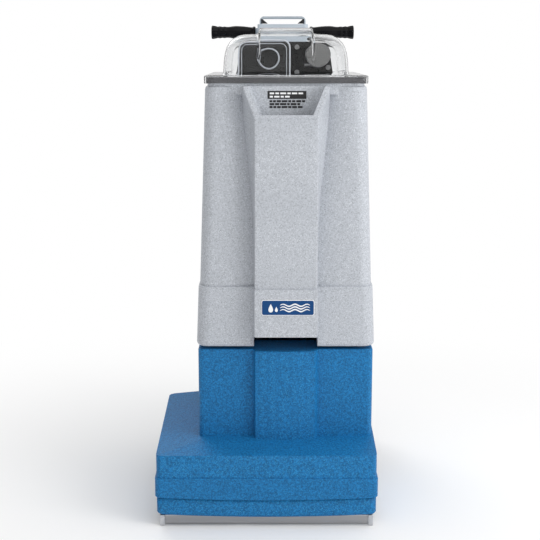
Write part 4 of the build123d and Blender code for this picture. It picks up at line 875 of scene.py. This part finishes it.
def arch(inset, depth):
    """Outline of the clear cover's open edge, `inset` mm inside it, on one upright plane."""
    gap = inset * MM
    corner = 0.016 - gap * 0.5
    x0, x1, z1 = left + gap, right - gap, top - gap
    points = [Vector((x0, depth, 0.898))]
    for cx, start in ((x0 + corner, 180), (x1 - corner, 90)):
        for i in range(7):
            a = math.radians(start - 15 * i)
            points.append(Vector((cx + corner * math.cos(a), depth, z1 - corner + corner * math.sin(a))))
    return points + [Vector((x1, depth, 0.898))]


rear_face = box_hi.y - 0.004
# light grey beads along the clear cover's edges are painted highlights
highlight_bead("deflector_front_highlight_bead", arch(0, face), 1.7)
highlight_bead("deflector_inner_highlight_bead", arch(7, face + 0.012), 0.9)
highlight_bead("deflector_rear_highlight_bead", arch(0, rear_face), 1.1)
for i, x in enumerate((left, right)):
    highlight_bead(f"deflector_side_bead_{i}", [(x, depth, top - 0.016) for depth in (face, rear_face)], 0.8)
ring_lo, ring_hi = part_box("port_ring")
ring_mid = (ring_lo + ring_hi) / 2
RING_RADIUS = 0.0225
# painted highlight: a light grey bead round the port's opening, in front of the ring
ring_points = []
for i in range(40):
    a = 2 * math.pi * i / 40
    x, z = ring_mid.x + RING_RADIUS * math.cos(a), ring_mid.z + RING_RADIUS * math.sin(a)
    ring_points.append(Vector((x, ring_lo.y - 0.0006, z)))
highlight_bead("port_ring_highlight_bead", ring_points, 1.9, closed=True)
# the gasket's colour is its own dark grey plus painted reflection
gasket_cuts = [block(-159.05, 159.05, 109.95, 486.05, 900, 909, 18), block(-150, 150, 119, 477, 890, 920, 10)]
gasket = mould("lid_gasket_visual", [block(-161.6, 161.6, 105, 491.6, 903, 913.6, 12)], gasket_cuts, edge=0.6)
finish_piece(gasket, "tank", SEAL, ["lid_gasket"])

# ---------------------------------------------------------------- handle
# Distance from the console and radius, in mm.
GRIP_PROFILE = [
    (0, 11.2), (0, 13.2), (1.2, 14.4), (4, 14.8), (6.5, 14.2), (8, 12.9), (14, 13.1), (24, 14.1),
    (32, 14.9), (40, 15.4), (50, 15.7), (58, 15.3), (66, 14.3), (71, 13.9), (75, 14.2), (79, 15.0),
    (81.5, 15.1), (84, 14.5), (86, 14.4), (89, 15.2), (92, 15.7), (94, 15.5), (96.5, 14.9), (98.5, 15.0),
    (101, 15.9), (105, 16.8), (109, 17.35), (111.5, 17.3), (113, 16.5), (113.8, 14.5), (114, 9), (114, 0.1),
]


def finger_ribs(distance, radius, angle):
    """Fine lengthwise ribs on the palm of the grip, and broader flutes towards its end."""
    palm = blend(0, 0.35, distance, 10, 20) * (1 - blend(0, 1, distance, 60, 66))
    flutes = blend(0, 0.5, distance, 72, 80) * (1 - blend(0, 1, distance, 108, 112))
    return palm * math.cos(18 * angle) + flutes * math.cos(12 * angle) - flutes


for side, word in ((-1, "left"), (1, "right")):
    grip = lathe(f"grip_{word}", at(side * 70, 817.4, 1013), (side, 0, 0), GRIP_PROFILE, 72, finger_ribs)
    finish_piece(grip, "mast", GRIP, ["grips"])

console_cuts = [block(-61.5, 61.5, 782, 843, 955, 1030, 6), block(-70, 70, 776, 850, 990.4, 991.4, 0.5)]
console_cuts.append(block(-54, 54, 836, 850, 964, 1020, 1))
loop_low, loop_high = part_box("spray_loop")
for leg in (across_of(loop_low.x) + 4, across_of(loop_high.x) - 4):
    console_cuts.append(block(leg - 4.5, leg + 4.5, 792, 806, 1025, 1035, 1))
console_block = block(-64.5, 64.5, 779, 846, 952, 1033, 9)
console = mould("console_case_visual", [console_block], console_cuts, edge=1.6)
finish_piece(console, "mast", CONSOLE, ["console_case"])
core_block, core_cut = block(-63.6, 63.6, 780, 845, 984, 998, 8), block(-61.4, 61.4, 782, 843, 980, 1000, 6)
console_core = mould("console_core", [core_block], [core_cut])
finish_piece(console_core, "mast", BLACK)


def wedge(side):
    """Rubber gusset in a lower corner of the bail."""
    outline = ((55.6, 1034.6), (38.5, 1034.6), (40, 1036.5), (53, 1046.5), (55.6, 1046.5))
    return [[at(side * x, depth, z) for x, z in outline] for depth in (792.5, 801.5)]


gussets = solid_mesh("loop_boots_visual", [wedge(-1), wedge(1)])
bevelled(gussets, 1.0, 3)
finish_piece(gussets, "spray_bail", RUBBER, ["loop_boots"])


# ---------------------------------------------------------------- wheels
def tread(distance, radius, angle):
    """Shallow cross grooves on the tyre's outer band, which the two halves have out of step."""
    if radius < 125.5:
        return 0
    wave = math.cos(46 * angle + (1 if distance > 25 else -1) * 0.9)
    return -2.2 if wave > 0.72 else 0


# Distance from the tyre's left face and radius, in mm.
TYRE_PROFILE = [
    (4, 98), (2, 102), (0.8, 108), (0.4, 114), (1.5, 119), (4, 123), (8, 125.6), (9, 126.6), (20, 127),
    (22, 127), (22.6, 124.5), (27.4, 124.5), (28, 127), (30, 127), (41, 126.6), (42, 125.6), (46, 123),
    (48.5, 119), (49.6, 114), (49.2, 108), (48, 102), (46, 98), (4, 98),
]
for word in ("left", "right"):
    lo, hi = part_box(f"tyre_{word}")
    middle = (lo + hi) / 2
    face_centre = Vector((lo.x, middle.y, middle.z))
    tyre = lathe(f"tyre_{word}_visual", face_centre, (1, 0, 0), TYRE_PROFILE, 184, tread)
    creases = tyre.modifiers.new("creases", "EDGE_SPLIT")
    creases.split_angle = math.radians(40)
    bake_modifiers(tyre)
    finish_piece(tyre, f"wheel_{word}", TYRE, [f"tyre_{word}"])

# ---------------------------------------------------------------- brush
lo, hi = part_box("brush_bristles")
middle = (lo + hi) / 2
outer = (hi.z - lo.z) / 2
TUFT_ROWS, CORE_RADIUS, ROOT_RADIUS, TIP_RADIUS = 10, 0.0255, 0.0012, 0.0021
END_MARGIN = 0.004
tufts = bmesh.new()
count = 74
for row in range(TUFT_ROWS):
    for i in range(count):
        share = (i + 0.5 * (row % 2) + 0.25) / count
        x = lo.x + END_MARGIN + (hi.x - lo.x - 2 * END_MARGIN) * share
        a = 2 * math.pi * (row / TUFT_ROWS + 0.35 * share) + random.uniform(-0.03, 0.03)
        out = Vector((0, math.cos(a), math.sin(a)))
        lean = Vector((random.uniform(-0.04, 0.04), 0, 0))
        base_point = Vector((x, middle.y, middle.z)) + out * CORE_RADIUS
        tip = Vector((x, middle.y, middle.z)) + (out + lean).normalized() * (outer - 0.0001)
        side_a = out.orthogonal().normalized()
        side_b = out.cross(side_a)
        low_ring, high_ring = [], []
        for k in range(5):
            b = 2 * math.pi * k / 5
            spoke = side_a * math.cos(b) + side_b * math.sin(b)
            low_ring.append(tufts.verts.new(base_point + spoke * ROOT_RADIUS))
            high_ring.append(tufts.verts.new(tip - out * 0.0006 + spoke * TIP_RADIUS))
        for k in range(5):
            tufts.faces.new((low_ring[k], low_ring[(k + 1) % 5], high_ring[(k + 1) % 5], high_ring[k]))
        tufts.faces.new(low_ring[::-1])
        tufts.faces.new(high_ring)
brush = new_object("brush_tufts", tufts)
finish_piece(brush, "brush", BRISTLE, ["brush_bristles"])

# ---------------------------------------------------------------- shoe ends
curls = []
for x0, x1 in ((-260, -250), (170.5, 180.5)):
    curls.append(block(x0, x1, 11.5, 15, 0.2, 25, 1.2, 3, 0.8))
    curls.append(block(x0, x1, 9.5, 12.5, 19.5, 24.5, 1.2, 3, 1.2))
shoe_lip = [
    block(-252, 173, 12.6, 15.2, 0.2, 3.2, 0.6, 3, 0.5),
    block(-252, 173, 13.6, 15.2, 21.5, 23.2, 0.5, 3, 0.4),
]
lip = solid_mesh("shoe_front_trim", curls + shoe_lip)
finish_piece(lip, "chassis", ZINC)

# ---------------------------------------------------------------- floor, light and camera
floor_mesh = bmesh.new()
bmesh.ops.create_grid(floor_mesh, x_segments=2, y_segments=2, size=40)
floor = new_object("floor", floor_mesh)
paper = Shader("floor_paper", Roughness=0.9, Specular_IOR_Level=0.1)
paper.bsdf.inputs["Base Color"].default_value = (0.95, 0.95, 0.95, 1)
reach = paper.nodes.new("ShaderNodeVectorMath")
reach.operation = "LENGTH"
paper.link(paper.place, reach.inputs[0])
fade = paper.nodes.new("ShaderNodeMapRange")
fade.interpolation_type = "SMOOTHSTEP"
fade.inputs["From Min"].default_value = 0.35
fade.inputs["From Max"].default_value = 1.4
paper.link(reach.outputs["Value"], fade.inputs["Value"])
glow = paper.nodes.new("ShaderNodeEmission")
glow.inputs["Color"].default_value = (1, 1, 1, 1)
seamless = paper.nodes.new("ShaderNodeMixShader")
paper.link(fade.outputs["Result"], seamless.inputs["Fac"])
paper.link(paper.bsdf.outputs["BSDF"], seamless.inputs[1])
paper.link(glow.outputs["Emission"], seamless.inputs[2])
paper.link(seamless.outputs["Shader"], paper.nodes["Material Output"].inputs["Surface"])
floor.data.materials.append(paper.material)

world = bpy.data.worlds.new("studio")
bpy.context.scene.world = world
world.use_nodes = True
sky = world.node_tree
backdrop = sky.nodes["Background"]
direction = sky.nodes.new("ShaderNodeSeparateXYZ")
sky.links.new(sky.nodes.new("ShaderNodeTexCoord").outputs["Generated"], direction.inputs["Vector"])
side_light = sky.nodes.new("ShaderNodeMapRange")
side_light.inputs["From Min"].default_value = -0.9
side_light.inputs["From Max"].default_value = 0.9
side_light.inputs["To Min"].default_value = 0.42
side_light.inputs["To Max"].default_value = 1.02
sky.links.new(direction.outputs["X"], side_light.inputs["Value"])
path = sky.nodes.new("ShaderNodeLightPath")
strength = side_light.outputs["Result"]
for kind, level in (("Is Transmission Ray", 0.92), ("Is Camera Ray", 1.0)):
    brightness = sky.nodes.new("ShaderNodeMix")
    sky.links.new(path.outputs[kind], brightness.inputs["Factor"])
    sky.links.new(strength, brightness.inputs[2])
    brightness.inputs[3].default_value = level
    strength = brightness.outputs[0]
sky.links.new(strength, backdrop.inputs["Strength"])
backdrop.inputs["Color"].default_value = (1, 1, 1, 1)


def lamp(name, place, target, size, power):
    """Soft square area light aimed at a point."""
    data = bpy.data.lights.new(name, "AREA")
    data.shape = "RECTANGLE"
    data.size, data.size_y = size
    data.energy = power
    light = bpy.data.objects.new(name, data)
    light.location = place
    light.visible_transmission = False
    light.rotation_euler = (Vector(target) - Vector(place)).to_track_quat("-Z", "Y").to_euler()
    bpy.context.scene.collection.objects.link(light)
    return light


lamp("key", (1.5, -1.35, 1.2), (0, 0, 0.55), (1.0, 1.2), 15)
lamp("top", (0.4, -0.9, 3.0), (0, 0, 0.5), (2.0, 2.0), 11)
lamp("back", (-1.2, 1.9, 2.5), (0, 0, 0.5), (1.4, 1.4), 20)

camera_data = bpy.data.cameras.new("camera")
camera_data.lens = 77.33
camera_data.sensor_width = 36
camera = bpy.data.objects.new("camera", camera_data)
camera.location = at(-32.5, -2250, 968)
camera.rotation_euler = (math.radians(90 - 10.739), 0, 0)
bpy.context.scene.collection.objects.link(camera)
bpy.context.scene.camera = camera
bpy.context.scene.view_settings.view_transform = "Standard"
